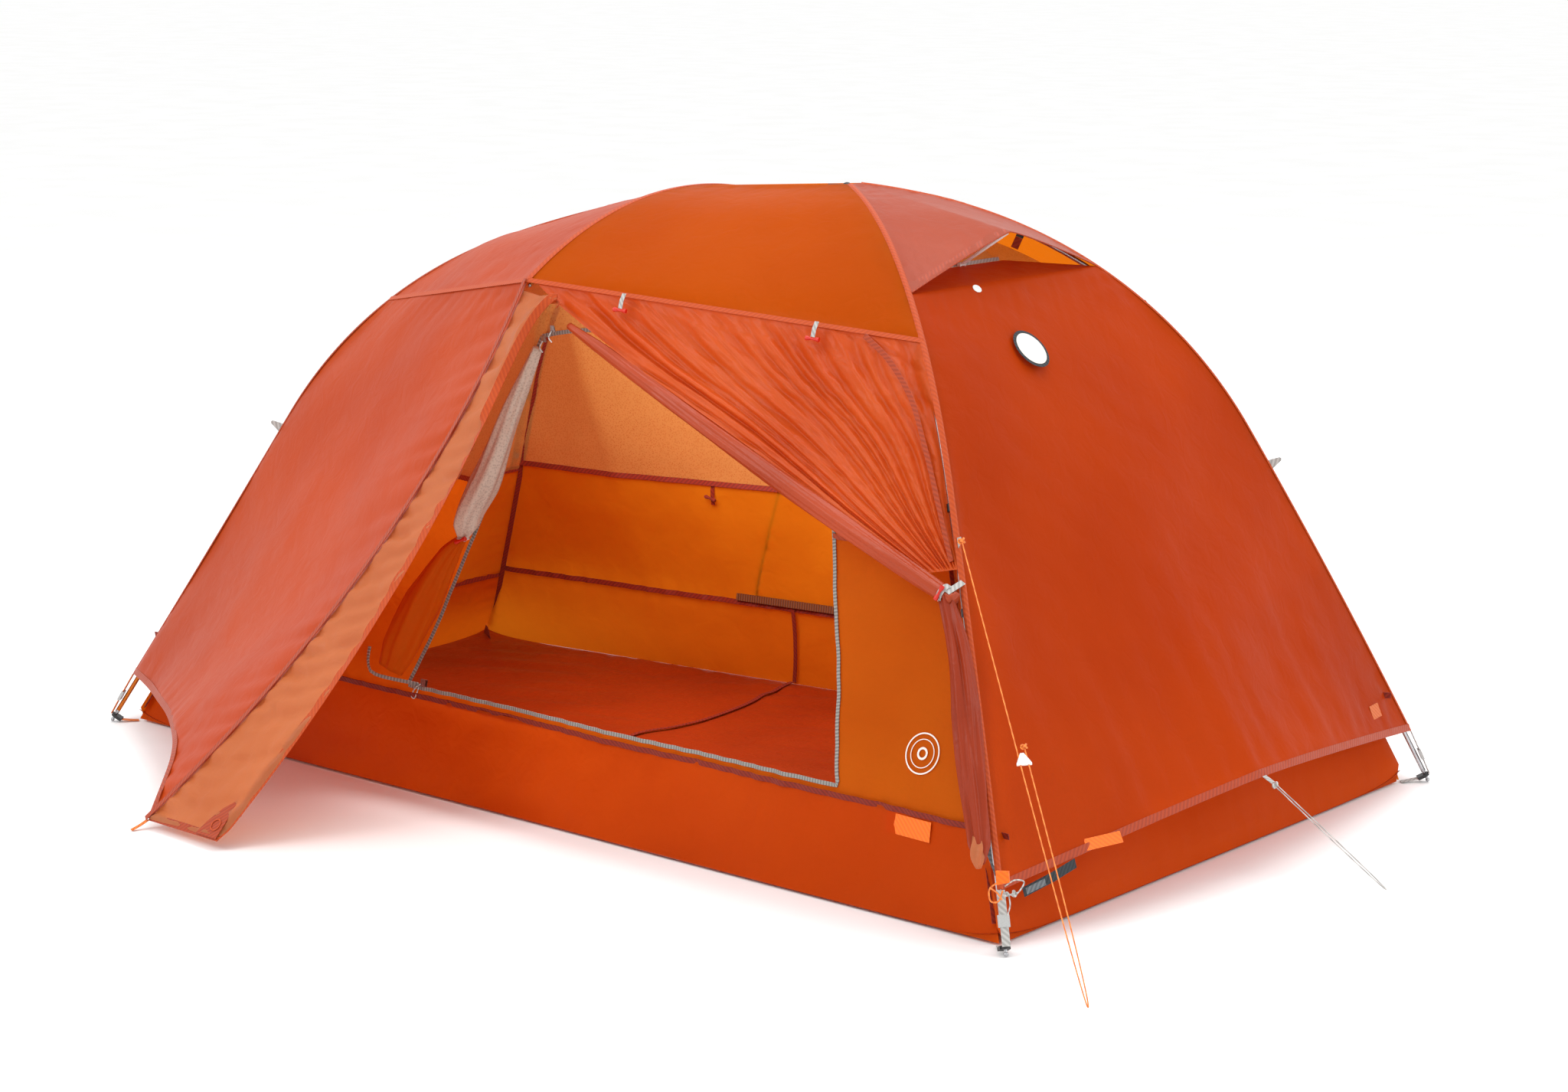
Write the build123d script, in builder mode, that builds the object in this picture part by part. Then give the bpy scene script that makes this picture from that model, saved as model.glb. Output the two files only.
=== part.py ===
"""Two-person tent: an inner tent and a flysheet on one hubbed pole frame.

Frame of the model: millimetres, +Z up. The origin is the middle of the floor sheet's underside, on
the ground. +X points to the wide head end and -Y to the front, where the vestibule and door stand open.
"""

import os
from math import cos, pi, radians, sin

from build123d import *

# Floor sheet: a trapezium, wider at the head end
floor_length = 2235
head_width = 1320
foot_width = 1020
floor_thickness = 2

# Poles
pole_diameter = 8.7
pole_wall = 0.8
tip_reach = 38  # each pole tip stands this far outside its floor corner, along X and along Y
head_hub_x = 295
head_hub_height = 1125
foot_hub_x = -245
foot_hub_height = 1054
brow_x = -71
ridge_height = 1088  # axis of the ridge pole under the brow pole
brow_half_span = 462
brow_end_height = 960
# A leg leaves its hub at this angle below level, and its curve passes two points: the shoulder, given
# out from the hub and down, and the knee, given in from the tip and up
head_leg_angle = 5.6
head_shoulder = (193, 35)
head_knee = (370, 677)
foot_leg_angle = 12.8
foot_shoulder = (233, 68)
foot_knee = (398, 636)
leg_sections = 4
brow_sections = 3
joint_gap = 0.3  # between two pole sections that meet

# Hubs, ferrules and tips
hub_radius = 10.5
socket_radius = 7.2
socket_length = 42
socket_clearance = 0.95  # round the bent legs, whose tubes lean on one side of the bore
ferrule_length = 70
ferrule_clearance = 0.1
shock_cord_diameter = 2.8
shock_cord_clearance = 0.4
cord_inset = 0.03  # of a pole's length, from the tube's end to the end of the shock cord
tip_length = 24
tip_plug_length = 14
tip_shoulder = 5
plug_clearance = 0.12
tip_ball_radius = 4
tip_shaft_radius = 2.8
cradle_height = 11  # up the shaft from the ball
cradle_reach = 16  # from the shaft to the bar's end
cradle_radius = 7
cradle_width = 18
cradle_thickness = 6
cradle_clearance = 0.3
clamp_size = 17

# Cloth, drawn thicker than the real sheet
cloth = 2
seam_gap = 0.25  # each sheet stops this far from its seam
fly_lift = 12  # from a pole's axis out to the flysheet
inner_drop = 36  # from a pole's axis in to the inner tent
bathtub_height = 175
back_solid_height = 440
front_solid_height = 580
fly_corner_height = 95
leg_samples = 20
roof_samples = 16
hub_share = 0.015  # the flysheet's panels start this far along a leg
inner_hub_share = 0.09  # and the inner tent's

# Where the roof panels end on the legs, as a height of the leg's axis
head_seam_height = 905
foot_seam_height = 862

# Vestibules: each is pegged to the ground at one point, and its zip bows sideways
front_peg = (-484, -1043, 16)
back_peg = (-120, 1150, 16)
zip_bow = 95
flap_foot_width = 205
flap_head_width = 14
vestibule_hem_rise = 70

# The front vestibule's head half, rolled and tied back to the leg
tie_height = 520
roll_radius = 15
bundle_radius = 22
bundle_foot_height = 135

# Vents: a stiffened hood over a mesh window, held open by a strut
rim_height = 975
hood_rise = 84
hood_reach = 10
vent_setback = 105
vent_drop = 72  # from the hood's rim down to the lower edge of the window
vent_half_width = 145
window_half_width = 130
window_lean = 42  # the window's upper edge stands this far behind its lower edge
inner_sag = 48  # the inner tent's end hangs this much lower on its centre line, clear of the vent
strut_width = 12
strut_thickness = 3
strut_pin_diameter = 3
hem_pull = 80  # the end panels' hems are drawn out in the middle
hem_rise = 62

# Doors of the inner tent, drawn in the plane of the wall (X, Z)
sill_height = 190
door_foot_x = -341
door_top_x = -53
door_head_x = 739
door_turn_x = 605
door_turn_height = 616
door_top_height = 868
door_crown = (345, 838)
sill_line_height = 206  # the long walls are flat up to here, where the door's sill zip runs
zip_width = 9
zip_thickness = 1.6
door_roll_gap = 1.8
door_roll_steps = ((0.97, 11), (0.52, 24), (0.06, 34))  # share of the doorway's height, and radius
slider_size = (13, 13, 6.5)  # along the zip, up, and through the cloth
slider_clearance = 0.5

# Webbing, loops and small fittings
webbing = 1.2
strap_width = 14
adjuster_size = (20, 19, 5)
clip_length = 14
clip_wall = 2.2
clip_clearance = 0.3
clip_places = (0.2, 0.38, 0.55, 0.72)  # along each leg, from the hub
wrap_places = (0.3, 0.66)
toggle_length = 26
toggle_end_radius = 4
toggle_waist_radius = 2.2
toggle_loop_length = 30
peg_loop_length = 32
guy_tab_height = 604
guy_tab_length = 22
badge_radius = 40
badge_thickness = 0.8
badge_height = 872
badge_share = 0.78  # from the leg edge to the centre line
badge_gap = 0.5

# Cords: the guyline's route and the hem cord's route, whose points are chosen by hand
guyline_diameter = 2.2
guyline_bend = 7
guyline_route = [(926.4, -512.2, 621.5), (1400, -843, 4), (1408.2, -831.2, 4), (1156.1, -655.1, 332.7)]
hem_cord_diameter = 2
hem_cord_bend = 6
hem_cord_route = [(1226.9, -3.4, 152.9), (1452, -6.4, 4), (1452, 6.4, 4), (1228.6, 3.4, 151.8)]
tensioner_place = 0.49  # along the guyline from its tab to the ground
tensioner_size = (23, 5, 20)
cord_clearance = 0.35

inside = Vector(0, 0, 350)
up = Vector(0, 0, 1)


def export(piece, name):
    """Label a finished piece and write its file."""
    piece.part.label = name
    export_step(piece.part, f"parts/{name}.step")


def group(blocks):
    """Several finished pieces as one node of separate solids."""
    with BuildPart() as pieces:
        for block in blocks:
            add(block.part)
    return pieces


def mix(first, second, share):
    return first + (second - first) * share


def spread(first, second, count):
    """Points in even steps from one point to another."""
    return [mix(first, second, i / (count - 1)) for i in range(count)]


# ---------------------------------------------------------------- pole lines


def floor_corner(end, side):
    width = head_width if end > 0 else foot_width
    return Vector(end * floor_length / 2, side * width / 2, 0)


def tip_point(end, side):
    """Centre of the ball at the foot of a leg."""
    corner = floor_corner(end, side)
    return Vector(corner.X + end * tip_reach, corner.Y + side * tip_reach, tip_ball_radius)


def hub_point(end):
    if end > 0:
        return Vector(head_hub_x, 0, head_hub_height)
    return Vector(foot_hub_x, 0, foot_hub_height)


def leg_outward(end, side):
    """Level direction in which a leg leaves its hub."""
    span = tip_point(end, side) - hub_point(end)
    return Vector(span.X, span.Y, 0).normalized()


def leg_line(end, side):
    """Axis of a leg: three arcs that run on into each other, from the hub to the tip."""
    hub = hub_point(end)
    tip = tip_point(end, side)
    out = leg_outward(end, side)
    angle = head_leg_angle if end > 0 else foot_leg_angle
    shoulder = head_shoulder if end > 0 else foot_shoulder
    knee = head_knee if end > 0 else foot_knee
    with BuildLine() as line:
        start = out * cos(radians(angle)) - up * sin(radians(angle))
        first = TangentArc(hub, hub + out * shoulder[0] - up * shoulder[1], tangent=start)
        knee_point = Vector(tip.X, tip.Y, knee[1]) - out * knee[0]
        second = TangentArc(first @ 1, knee_point, tangent=first % 1)
        TangentArc(second @ 1, tip, tangent=second % 1)
    return line.wires()[0]


def ridge_line():
    with BuildLine() as line:
        ThreePointArc(hub_point(-1), (brow_x, 0, ridge_height), hub_point(1))
    return line.wires()[0]


def brow_height():
    """Axis of the brow pole where it lies across the ridge pole."""
    return ridge_height + pole_diameter + 0.5


def brow_line():
    with BuildLine() as line:
        ThreePointArc(
            (brow_x, -brow_half_span, brow_end_height),
            (brow_x, 0, brow_height()),
            (brow_x, brow_half_span, brow_end_height),
        )
    return line.wires()[0]


legs = {(end, side): leg_line(end, side) for end in (1, -1) for side in (-1, 1)}
ridge = ridge_line()
brow = brow_line()


def leg_share(end, height):
    """How far along a leg, from 0 at the hub to 1 at the tip, its axis comes down to a height."""
    line = legs[end, -1]
    low, high = 0.05, 1
    for _ in range(30):
        middle = (low + high) / 2
        if (line @ middle).Z > height:
            low = middle
        else:
            high = middle
    return low


def leg_normal(end, side, share):
    """Direction square to a leg, in its own upright plane, away from the cabin."""
    tangent = legs[end, side] % share
    out = leg_outward(end, side)
    return (out * -tangent.Z + up * tangent.dot(out)).normalized()


def beside_leg(end, side, share, lift):
    return legs[end, side] @ share + leg_normal(end, side, share) * lift


def leg_edge(end, side, start, stop, lift, count):
    """Points along a leg, lifted off its axis."""
    return [beside_leg(end, side, start + (stop - start) * i / (count - 1), lift) for i in range(count)]


def frame_plane(end, side, share):
    """Plane across a leg: its normal runs along the leg and its X points away from the cabin."""
    return Plane(
        origin=legs[end, side] @ share,
        x_dir=leg_normal(end, side, share),
        z_dir=legs[end, side] % share,
    )


# ---------------------------------------------------------------- building blocks


def tube(line, start, stop, outer, inner):
    """A piece of round tube, or rod where inner is 0, along part of a line."""
    path = line.trim(start, stop)
    with BuildPart() as piece:
        with BuildSketch(Plane(origin=path @ 0, z_dir=path % 0)):
            Circle(outer)
            if inner:
                Circle(inner, mode=Mode.SUBTRACT)
        sweep(path=path)
    return piece


def sheet(first_edge, second_edge, thickness=cloth, reference=inside):
    """Cloth stretched in straight lines between two edges of equal point counts.

    Its thickness stands on the side away from the reference point, and it stops short of its seams.
    """
    count = len(first_edge)
    middles = [mix(first_edge[i], second_edge[i], 0.5) for i in range(count)]
    sections = []
    for i in range(count):
        first, second = first_edge[i], second_edge[i]
        along = middles[min(i + 1, count - 1)] - middles[max(i - 1, 0)]
        out = (second - first).cross(along).normalized()
        if out.dot(middles[i] - reference) < 0:
            out = out * -1
        trim = (second - first).normalized() * seam_gap
        step = Vector(0, 0, 0)
        if i == 0:
            step = along.normalized() * seam_gap
        if i == count - 1:
            step = along.normalized() * -seam_gap
        low, high = first + trim + step, second - trim + step
        outline = Wire.make_polygon([low, high, high + out * thickness, low + out * thickness])
        sections.append(Face(outline))
    with BuildPart() as piece:
        loft(sections, ruled=True)
    return piece


def strap(start, end, facing, width=strap_width, thickness=webbing):
    """A flat strap between two points, its flat side towards facing."""
    span = end - start
    across = facing - span.normalized() * facing.dot(span.normalized())
    with BuildPart(Plane(origin=start, x_dir=span, z_dir=across)) as piece:
        Box(span.length, width, thickness, align=(Align.MIN, Align.CENTER, Align.CENTER))
    return piece


def slab(plane, length, width, height, align=(Align.CENTER, Align.CENTER, Align.CENTER)):
    with BuildPart(plane) as piece:
        Box(length, width, height, align=align)
    return piece


def cord(points, radius, bend):
    """A taut cord: straight runs with an arc at each corner, printed with its lengths."""
    with BuildPart() as piece:
        with BuildLine() as route:
            FilletPolyline(*points, radius=bend)
        path = route.wires()[0]
        with BuildSketch(Plane(origin=path @ 0, z_dir=path % 0)):
            Circle(radius)
        sweep(path=path)
    ratio = piece.part.volume / (pi * radius**2 * path.length)
    print("cord length", round(path.length), "radius", radius, "bend", bend, "volume ratio", round(ratio, 4))
    return piece


def toggle(plane):
    """A bow-tie toggle, its length along the plane's X axis."""
    half = toggle_length / 2
    with BuildPart() as piece:
        with BuildSketch(plane):
            with BuildLine():
                Polyline(
                    (-half, 0),
                    (-half, toggle_end_radius),
                    (-half * 0.75, toggle_end_radius),
                    (-2, toggle_waist_radius),
                    (2, toggle_waist_radius),
                    (half * 0.75, toggle_end_radius),
                    (half, toggle_end_radius),
                    (half, 0),
                    close=True,
                )
            make_face()
        revolve(axis=Axis(plane.origin, plane.x_dir))
    return piece


def keep_between(piece, low, high):
    """The part of a wall between two heights, a seam's gap short of each."""
    middle = (low + high) / 2
    with BuildPart() as band:
        add(piece.part)
        with Locations((0, 0, middle)):
            Box(4000, 4000, high - low - 2 * seam_gap, mode=Mode.INTERSECT)
    return band


# ---------------------------------------------------------------- pole frame


def hub(end):
    """A moulded hub with one socket for the ridge pole and two for the legs."""
    centre = hub_point(end)
    ridge_share = 1 if end > 0 else 0
    ridge_way = (ridge % ridge_share) * -end
    ways = [ridge_way] + [legs[end, side] % 0 for side in (-1, 1)]
    with BuildPart() as body:
        with Locations(centre):
            Sphere(hub_radius)
        for way in ways:
            with BuildSketch(Plane(origin=centre, z_dir=way)):
                Circle(socket_radius)
            extrude(amount=socket_length)
        for way in ways:
            start = centre + way * (hub_radius - 1)
            with BuildSketch(Plane(origin=start, z_dir=way)):
                Circle(pole_diameter / 2 + socket_clearance)
            extrude(amount=socket_length, mode=Mode.SUBTRACT)
    return body


def pole_pieces():
    """Pole sections, the ferrules inside their joints and the shock cord through them."""
    outer = pole_diameter / 2
    inner = outer - pole_wall
    hollow = shock_cord_diameter / 2 + shock_cord_clearance
    ferrules = []
    cords = []
    for (end, side), line in legs.items():
        first = (hub_radius + 1) / line.length
        last = 1 - tip_length / line.length
        step = (last - first) / leg_sections
        sections = []
        for i in range(leg_sections):
            start = first + i * step + joint_gap / 2 / line.length
            stop = first + (i + 1) * step - joint_gap / 2 / line.length
            sections.append(tube(line, start, stop, outer, inner))
        for i in range(1, leg_sections):
            half = ferrule_length / 2 / line.length
            middle = first + i * step
            ferrules.append(tube(line, middle - half, middle + half, inner - ferrule_clearance, hollow))
        cords.append(tube(line, first + cord_inset / 2, last - cord_inset, shock_cord_diameter / 2, 0))
        name = ("head" if end > 0 else "foot") + ("_front" if side < 0 else "_back") + "_leg"
        export(group(sections), name)

    start = (hub_radius + 1) / ridge.length
    export(tube(ridge, start, 1 - start, outer, inner), "ridge_pole")
    start = (hub_radius - 0.5) / ridge.length  # this cord runs from the bottom of one socket to the other's
    cords.append(tube(ridge, start, 1 - start, shock_cord_diameter / 2, 0))

    first = tip_length / brow.length
    step = (1 - 2 * first) / brow_sections
    half = ferrule_length / 2 / brow.length
    gap = joint_gap / 2 / brow.length
    sections = []
    for i in range(brow_sections):
        start = first + i * step + gap
        sections.append(tube(brow, start, start + step - 2 * gap, outer, inner))
    export(group(sections), "brow_pole")
    for i in range(1, brow_sections):
        middle = first + i * step
        ferrules.append(tube(brow, middle - half, middle + half, inner - ferrule_clearance, hollow))
    cords.append(tube(brow, first + cord_inset, 1 - first - cord_inset, shock_cord_diameter / 2, 0))
    export(group(ferrules), "pole_ferrules")
    export(group(cords), "shock_cords")


def brow_clamp():
    """The swivel clamp that holds the brow pole across the ridge pole."""
    bore = pole_diameter / 2 + 0.15
    low = ridge_height
    high = brow_height()
    slope = (ridge % ((brow_x - foot_hub_x) / (head_hub_x - foot_hub_x))).normalized()
    with BuildPart() as body:
        with Locations((brow_x, 0, (low + high) / 2)):
            Box(clamp_size, clamp_size, high - low + 13)
        with BuildSketch(Plane(origin=(brow_x, 0, low), z_dir=slope)):
            Circle(bore)
        extrude(amount=clamp_size * 2, both=True, mode=Mode.SUBTRACT)
        with BuildSketch(Plane(origin=(brow_x, 0, high), z_dir=(0, 1, 0))):
            Circle(bore + 0.4)
        extrude(amount=clamp_size * 2, both=True, mode=Mode.SUBTRACT)
    return body


def tip(plane):
    """A pole tip: a plug in the tube, a shoulder, a shaft and a ball. Z points to the ball."""
    plug = pole_diameter / 2 - pole_wall - plug_clearance
    below = (Align.CENTER, Align.CENTER, Align.MAX)
    with BuildPart(plane) as body:
        Sphere(tip_ball_radius)
        Cylinder(tip_shaft_radius, tip_length - tip_shoulder, align=below)
        with Locations((0, 0, -tip_length + joint_gap)):
            Cylinder(pole_diameter / 2, tip_shoulder, align=(Align.CENTER, Align.CENTER, Align.MIN))
            Cylinder(plug, tip_plug_length, align=below)
    return body


def tip_plane(end, side):
    return Plane(origin=tip_point(end, side), x_dir=leg_normal(end, side, 1), z_dir=legs[end, side] % 1)


def brow_tip(side):
    """A tip on an end of the brow pole, in line with the middle of its plug's seat."""
    seat = (tip_length + tip_plug_length / 2) / brow.length
    share = seat if side < 0 else 1 - seat
    outward = (brow % share) * side
    origin = brow @ share + outward * (tip_length + tip_plug_length / 2)
    return tip(Plane(origin=origin, x_dir=(1, 0, 0), z_dir=outward))


def cradle(plane):
    """The black cradle that the tip's shaft snaps into, with a bar towards the cabin for the webbing."""
    with BuildPart(plane) as body:
        with Locations((0, 0, -cradle_height)):
            Cylinder(cradle_radius, cradle_thickness)
        with Locations((-cradle_reach / 2, 0, -cradle_height)):
            Box(cradle_reach, cradle_width, cradle_thickness)
        with Locations((0, 0, -cradle_height)):
            Cylinder(tip_shaft_radius + cradle_clearance, cradle_thickness, mode=Mode.SUBTRACT)
    return body


def corner_fittings():
    """Everything at the four feet: tips, cradles, floor straps, fly straps and their adjusters."""
    tips, cradles, floor_straps, fly_straps, adjusters = [], [], [], [], []
    fly_share = {end: leg_share(end, fly_corner_height) for end in (1, -1)}
    for end in (1, -1):
        for side in (-1, 1):
            plane = tip_plane(end, side)
            along = legs[end, side] % 1
            normal = leg_normal(end, side, 1)
            tips.append(tip(plane))
            cradles.append(cradle(plane))
            bar = plane.origin - along * cradle_height - normal * cradle_reach
            corner = floor_corner(end, side) + up * floor_thickness / 2
            reach = (bar - corner).normalized()
            skew = reach.cross(normal).length * strap_width / 2
            floor_straps.append(strap(corner + reach * 0.7, bar - reach * (0.6 + skew), up))
            fly_foot = beside_leg(end, side, fly_share[end], fly_lift)
            start = plane.origin - along * cradle_height + normal * (cradle_radius + 1)
            finish = fly_foot + along * 1
            fly_straps.append(strap(start, finish, normal))
            middle = mix(start, finish, 0.45)
            way = (finish - start).normalized()
            facing = normal - way * normal.dot(way)
            holder = Plane(origin=middle, x_dir=way, z_dir=facing)
            with BuildPart(holder) as buckle:
                Box(*adjuster_size)
                Box(adjuster_size[0], strap_width + 0.8, webbing + 0.6, mode=Mode.SUBTRACT)
            adjusters.append(buckle)
    tips += [brow_tip(-1), brow_tip(1)]
    export(group(tips), "pole_tips")
    export(group(cradles), "tip_cradles")
    export(group(floor_straps), "floor_straps")
    export(group(fly_straps), "fly_straps")
    export(group(adjusters), "fly_adjusters")


def clips_and_wraps():
    """Clips that hang the inner tent from the legs, and wraps that tie the flysheet to them."""
    clips, tabs, wraps = [], [], []
    bore = pole_diameter / 2 + clip_clearance
    for end, side in legs:
        for share in clip_places:
            plane = frame_plane(end, side, share)
            with BuildPart(plane) as clip:
                Cylinder(bore + clip_wall, clip_length)
                with Locations((-bore - 4, 0, 0)):
                    Box(6, 3, clip_length)
                Cylinder(bore, clip_length, mode=Mode.SUBTRACT)
            clips.append(clip)
            start = plane.origin - plane.x_dir * (bore + 7.3)
            under_roof = plane.origin.Z > head_seam_height
            stop = cloth + 0.5 if under_roof else 0.9
            finish = plane.origin - plane.x_dir * (inner_drop - stop)
            tabs.append(strap(start, finish, plane.x_dir.cross(plane.z_dir), clip_length))
        for share in wrap_places:
            plane = frame_plane(end, side, share)
            with BuildPart(plane) as wrap:
                Cylinder(bore + 1, strap_width)
                with Locations((fly_lift - 3.2, 0, 0)):
                    Box(5, 1.2, strap_width)
                Cylinder(bore, strap_width, mode=Mode.SUBTRACT)
            wraps.append(wrap)
    export(group(clips), "pole_clips")
    export(group(tabs), "clip_tabs")
    export(group(wraps), "fly_pole_wraps")


# ---------------------------------------------------------------- inner tent


def seam_point(end, side, lift):
    """Where the cross seam of the roof meets a leg."""
    height = head_seam_height if end > 0 else foot_seam_height
    return beside_leg(end, side, leg_share(end, height), lift)


def brow_end(side, lift):
    """Where the brow pole's end meets the cloth."""
    share = 0 if side < 0 else 1
    way = brow % share
    normal = Vector(0, -way.Z, way.Y).normalized()
    return brow @ share + normal * lift


def floor():
    corners = [floor_corner(end, side) for end, side in ((1, -1), (1, 1), (-1, 1), (-1, -1))]
    with BuildPart() as piece:
        with BuildSketch(Plane.XY):
            with BuildLine():
                Polyline(*[(corner.X, corner.Y) for corner in corners], close=True)
            make_face()
        extrude(amount=floor_thickness)
    return piece


def floor_edge(side, x):
    """The point of the floor's long edge at a given X."""
    share = (x + floor_length / 2) / floor_length
    width = foot_width + (head_width - foot_width) * share
    return Vector(x, side * (width / 2 - 1), floor_thickness + 0.3)


def wall_points(side):
    """Points round a long wall's upper outline, from the foot leg over the brow to the head leg."""
    top = []
    for end in (-1, 1):
        height = head_seam_height if end > 0 else foot_seam_height
        low = leg_share(end, sill_line_height + 30)
        high = leg_share(end, height)
        rising = leg_edge(end, side, low, high, -inner_drop, 10)
        seam = spread(seam_point(end, side, -inner_drop), brow_end(side, -inner_drop), 6)
        outline = rising + seam[1:]
        if end > 0:
            outline = outline[::-1][1:]
        top += outline
    return top


def sill_line(side, x):
    """The point of a long wall at the top of its flat lower band."""
    ends = [beside_leg(end, side, leg_share(end, sill_line_height), -inner_drop) for end in (-1, 1)]
    share = (x - ends[0].X) / (ends[1].X - ends[0].X)
    point = mix(ends[0], ends[1], share)
    return Vector(x, point.Y, sill_line_height)


def side_wall(side):
    """A long wall of the inner tent: a flat band from the floor up, and the wall above it."""
    top = wall_points(side)
    middle = [sill_line(side, point.X) for point in top]
    low = leg_edge(-1, side, leg_share(-1, 60), leg_share(-1, 150), -inner_drop, 3)
    far = leg_edge(1, side, leg_share(1, 60), leg_share(1, 150), -inner_drop, 3)[::-1]
    across = [sill_line(side, x) for x in (-1000, -500, 0, 500, 1000)]
    band_top = low + across + far
    band_bottom = [floor_edge(side, point.X) for point in band_top]
    return sheet(band_bottom, band_top), sheet(middle, top)


def centre_line(edge, other, end, sags):
    """The middle of an end of the inner tent, hanging in a little from between its two edges."""
    points = []
    for first, second, sag in zip(edge, other, sags):
        points.append(mix(first, second, 0.5) - Vector(end * sag * 0.5, 0, sag))
    return points


def end_wall(end):
    """The whole short wall of the inner tent, in two halves between its legs and its centre line."""
    low = leg_share(end, 78)
    high = leg_share(end, rim_height - 10)
    edges = []
    for side in (-1, 1):
        corner = floor_corner(end, side)
        foot = Vector(corner.X - end * 1, corner.Y - side * 12, floor_thickness + 0.3)
        edges.append([foot] + leg_edge(end, side, low, high, -inner_drop, leg_samples))
    count = len(edges[0])
    sags = [end_sag(end) * max(0, 2 * i / (count - 1) - 1) for i in range(count)]
    middle = centre_line(*edges, end, sags)
    return [sheet(edge, middle) for edge in edges]


def end_sag(end):
    return inner_sag if end > 0 else inner_sag / 3


def inner_roof():
    """Four mesh panels between the brow, the ridge and the legs, and two over each end."""
    panels = []
    crossing = brow @ 0.5 - up * (inner_drop + pole_diameter)
    for end in (1, -1):
        height = head_seam_height if end > 0 else foot_seam_height
        high = leg_share(end, height)
        rim = leg_share(end, rim_height - 10)
        for side in (-1, 1):
            brow_side = []
            for i in range(7):
                share = 0.5 - 0.5 * i / 6 if side < 0 else 0.5 + 0.5 * i / 6
                way = brow % share
                normal = Vector(0, -way.Z, way.Y).normalized()
                brow_side.append(brow @ share - normal * (inner_drop + pole_diameter * (1 - i / 6)))
            brow_side[0] = crossing
            edge = leg_edge(end, side, inner_hub_share, high, -inner_drop, 7)
            panels.append(sheet(brow_side, edge))
        edges = [leg_edge(end, side, inner_hub_share, rim, -inner_drop, 7) for side in (-1, 1)]
        middle = centre_line(*edges, end, [end_sag(end) * i / 6 for i in range(7)])
        panels += [sheet(edge, middle) for edge in edges]
    return group(panels)


def door_outline():
    """The D-shaped doorway, in X and Z."""
    Polyline((door_top_x, door_top_height), (door_foot_x, sill_height), (door_head_x, sill_height))
    Line((door_head_x, sill_height), (door_turn_x, door_turn_height))
    ThreePointArc((door_turn_x, door_turn_height), door_crown, (door_top_x, door_top_height))


def door_prism(side, shrink):
    """A block through the wall with the doorway's outline, made smaller all round by shrink."""
    with BuildPart() as block:
        with BuildSketch(Plane(origin=(0, side * 850, 0), x_dir=(1, 0, 0), z_dir=(0, -1, 0))) as outline:
            with BuildLine():
                door_outline()
            make_face()
            if shrink:
                offset(amount=-shrink, kind=Kind.INTERSECTION, mode=Mode.REPLACE)
        extrude(amount=600, both=True)
        keep = slab(Plane((0, side * 700, 500)), 4000, 900, 1400)
        add(keep.part, mode=Mode.INTERSECT)
    return block


def cut(piece, tool):
    with BuildPart() as result:
        add(piece.part)
        add(tool.part, mode=Mode.SUBTRACT)
    return result


def common(piece, tool):
    with BuildPart() as result:
        add(piece.part)
        add(tool.part, mode=Mode.INTERSECT)
    return result


def inner_tent():
    export(floor(), "floor")
    bands, walls = {}, {}
    for side in (-1, 1):
        bands[side], walls[side] = side_wall(side)
    ends = [half for end in (1, -1) for half in end_wall(end)]
    lower = [bands[-1], bands[1]] + ends
    export(group([keep_between(wall, 0, bathtub_height) for wall in lower]), "bathtub_walls")
    export(group([keep_between(half, bathtub_height, back_solid_height) for half in ends]), "end_walls")
    export(group([keep_between(half, back_solid_height, 1200) for half in ends]), "end_meshes")

    for side, name, solid_height in ((-1, "front", front_solid_height), (1, "back", back_solid_height)):
        doorway = door_prism(side, 0)
        upper_band = cut(keep_between(bands[side], bathtub_height, sill_line_height + 1), doorway)
        wall = cut(keep_between(walls[side], sill_line_height - 1, solid_height), doorway)
        export(group([upper_band, wall]), f"{name}_wall")
        export(cut(keep_between(walls[side], solid_height, 1200), doorway), f"{name}_mesh")
        ring = cut(door_prism(side, 0.3), door_prism(side, zip_width))
        tapes = [common(bands[side], ring), common(walls[side], ring)]
        export(group(tapes), f"{name}_door_zip")
    leaf = door_prism(1, zip_width + 0.3)
    export(group([common(bands[1], leaf), common(walls[1], leaf)]), "back_door")
    export(inner_roof(), "inner_roof")
    export(front_door_roll(), "front_door_roll")


def front_wall_y(x, height):
    """Y of the front wall's outer face at a place on it."""
    if height <= sill_line_height:
        low, top = floor_edge(-1, x), sill_line(-1, x)
    else:
        low = sill_line(-1, x)
        seam = seam_point(-1 if x < brow_x else 1, -1, -inner_drop)
        end = brow_end(-1, -inner_drop)
        top = mix(end, seam, (x - end.X) / (seam.X - end.X))
    return mix(low, top, (height - low.Z) / (top.Z - low.Z)).Y - cloth


def front_door_roll():
    """The front door, rolled up beside its opening and held by a toggle, its foot hanging loose."""
    with BuildPart() as roll:
        for share, radius in door_roll_steps:
            x = door_foot_x + (door_top_x - door_foot_x) * share - radius - 6
            height = sill_height + (door_top_height - sill_height) * share
            centre = Vector(x, front_wall_y(x, height) - radius - door_roll_gap, height)
            with BuildSketch(Plane(origin=centre, x_dir=(1, 0, 0), z_dir=(0.39, 0, 0.92))):
                Circle(radius)
        loft(ruled=True)
    return roll


# ---------------------------------------------------------------- flysheet


def brow_edge(side, lift, count):
    """Points on the cloth over the brow pole, from the ridge to one end."""
    points = []
    for i in range(count):
        share = 0.5 + side * 0.5 * i / (count - 1)
        way = brow % share
        normal = Vector(0, -way.Z, way.Y).normalized()
        points.append(brow @ share + normal * lift)
    return points


def fly_roof(side):
    panels = []
    for end in (1, -1):
        height = head_seam_height if end > 0 else foot_seam_height
        edge = leg_edge(end, side, hub_share, leg_share(end, height), fly_lift, roof_samples)
        panels.append(sheet(brow_edge(side, fly_lift, roof_samples), edge))
    return group(panels)


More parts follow.
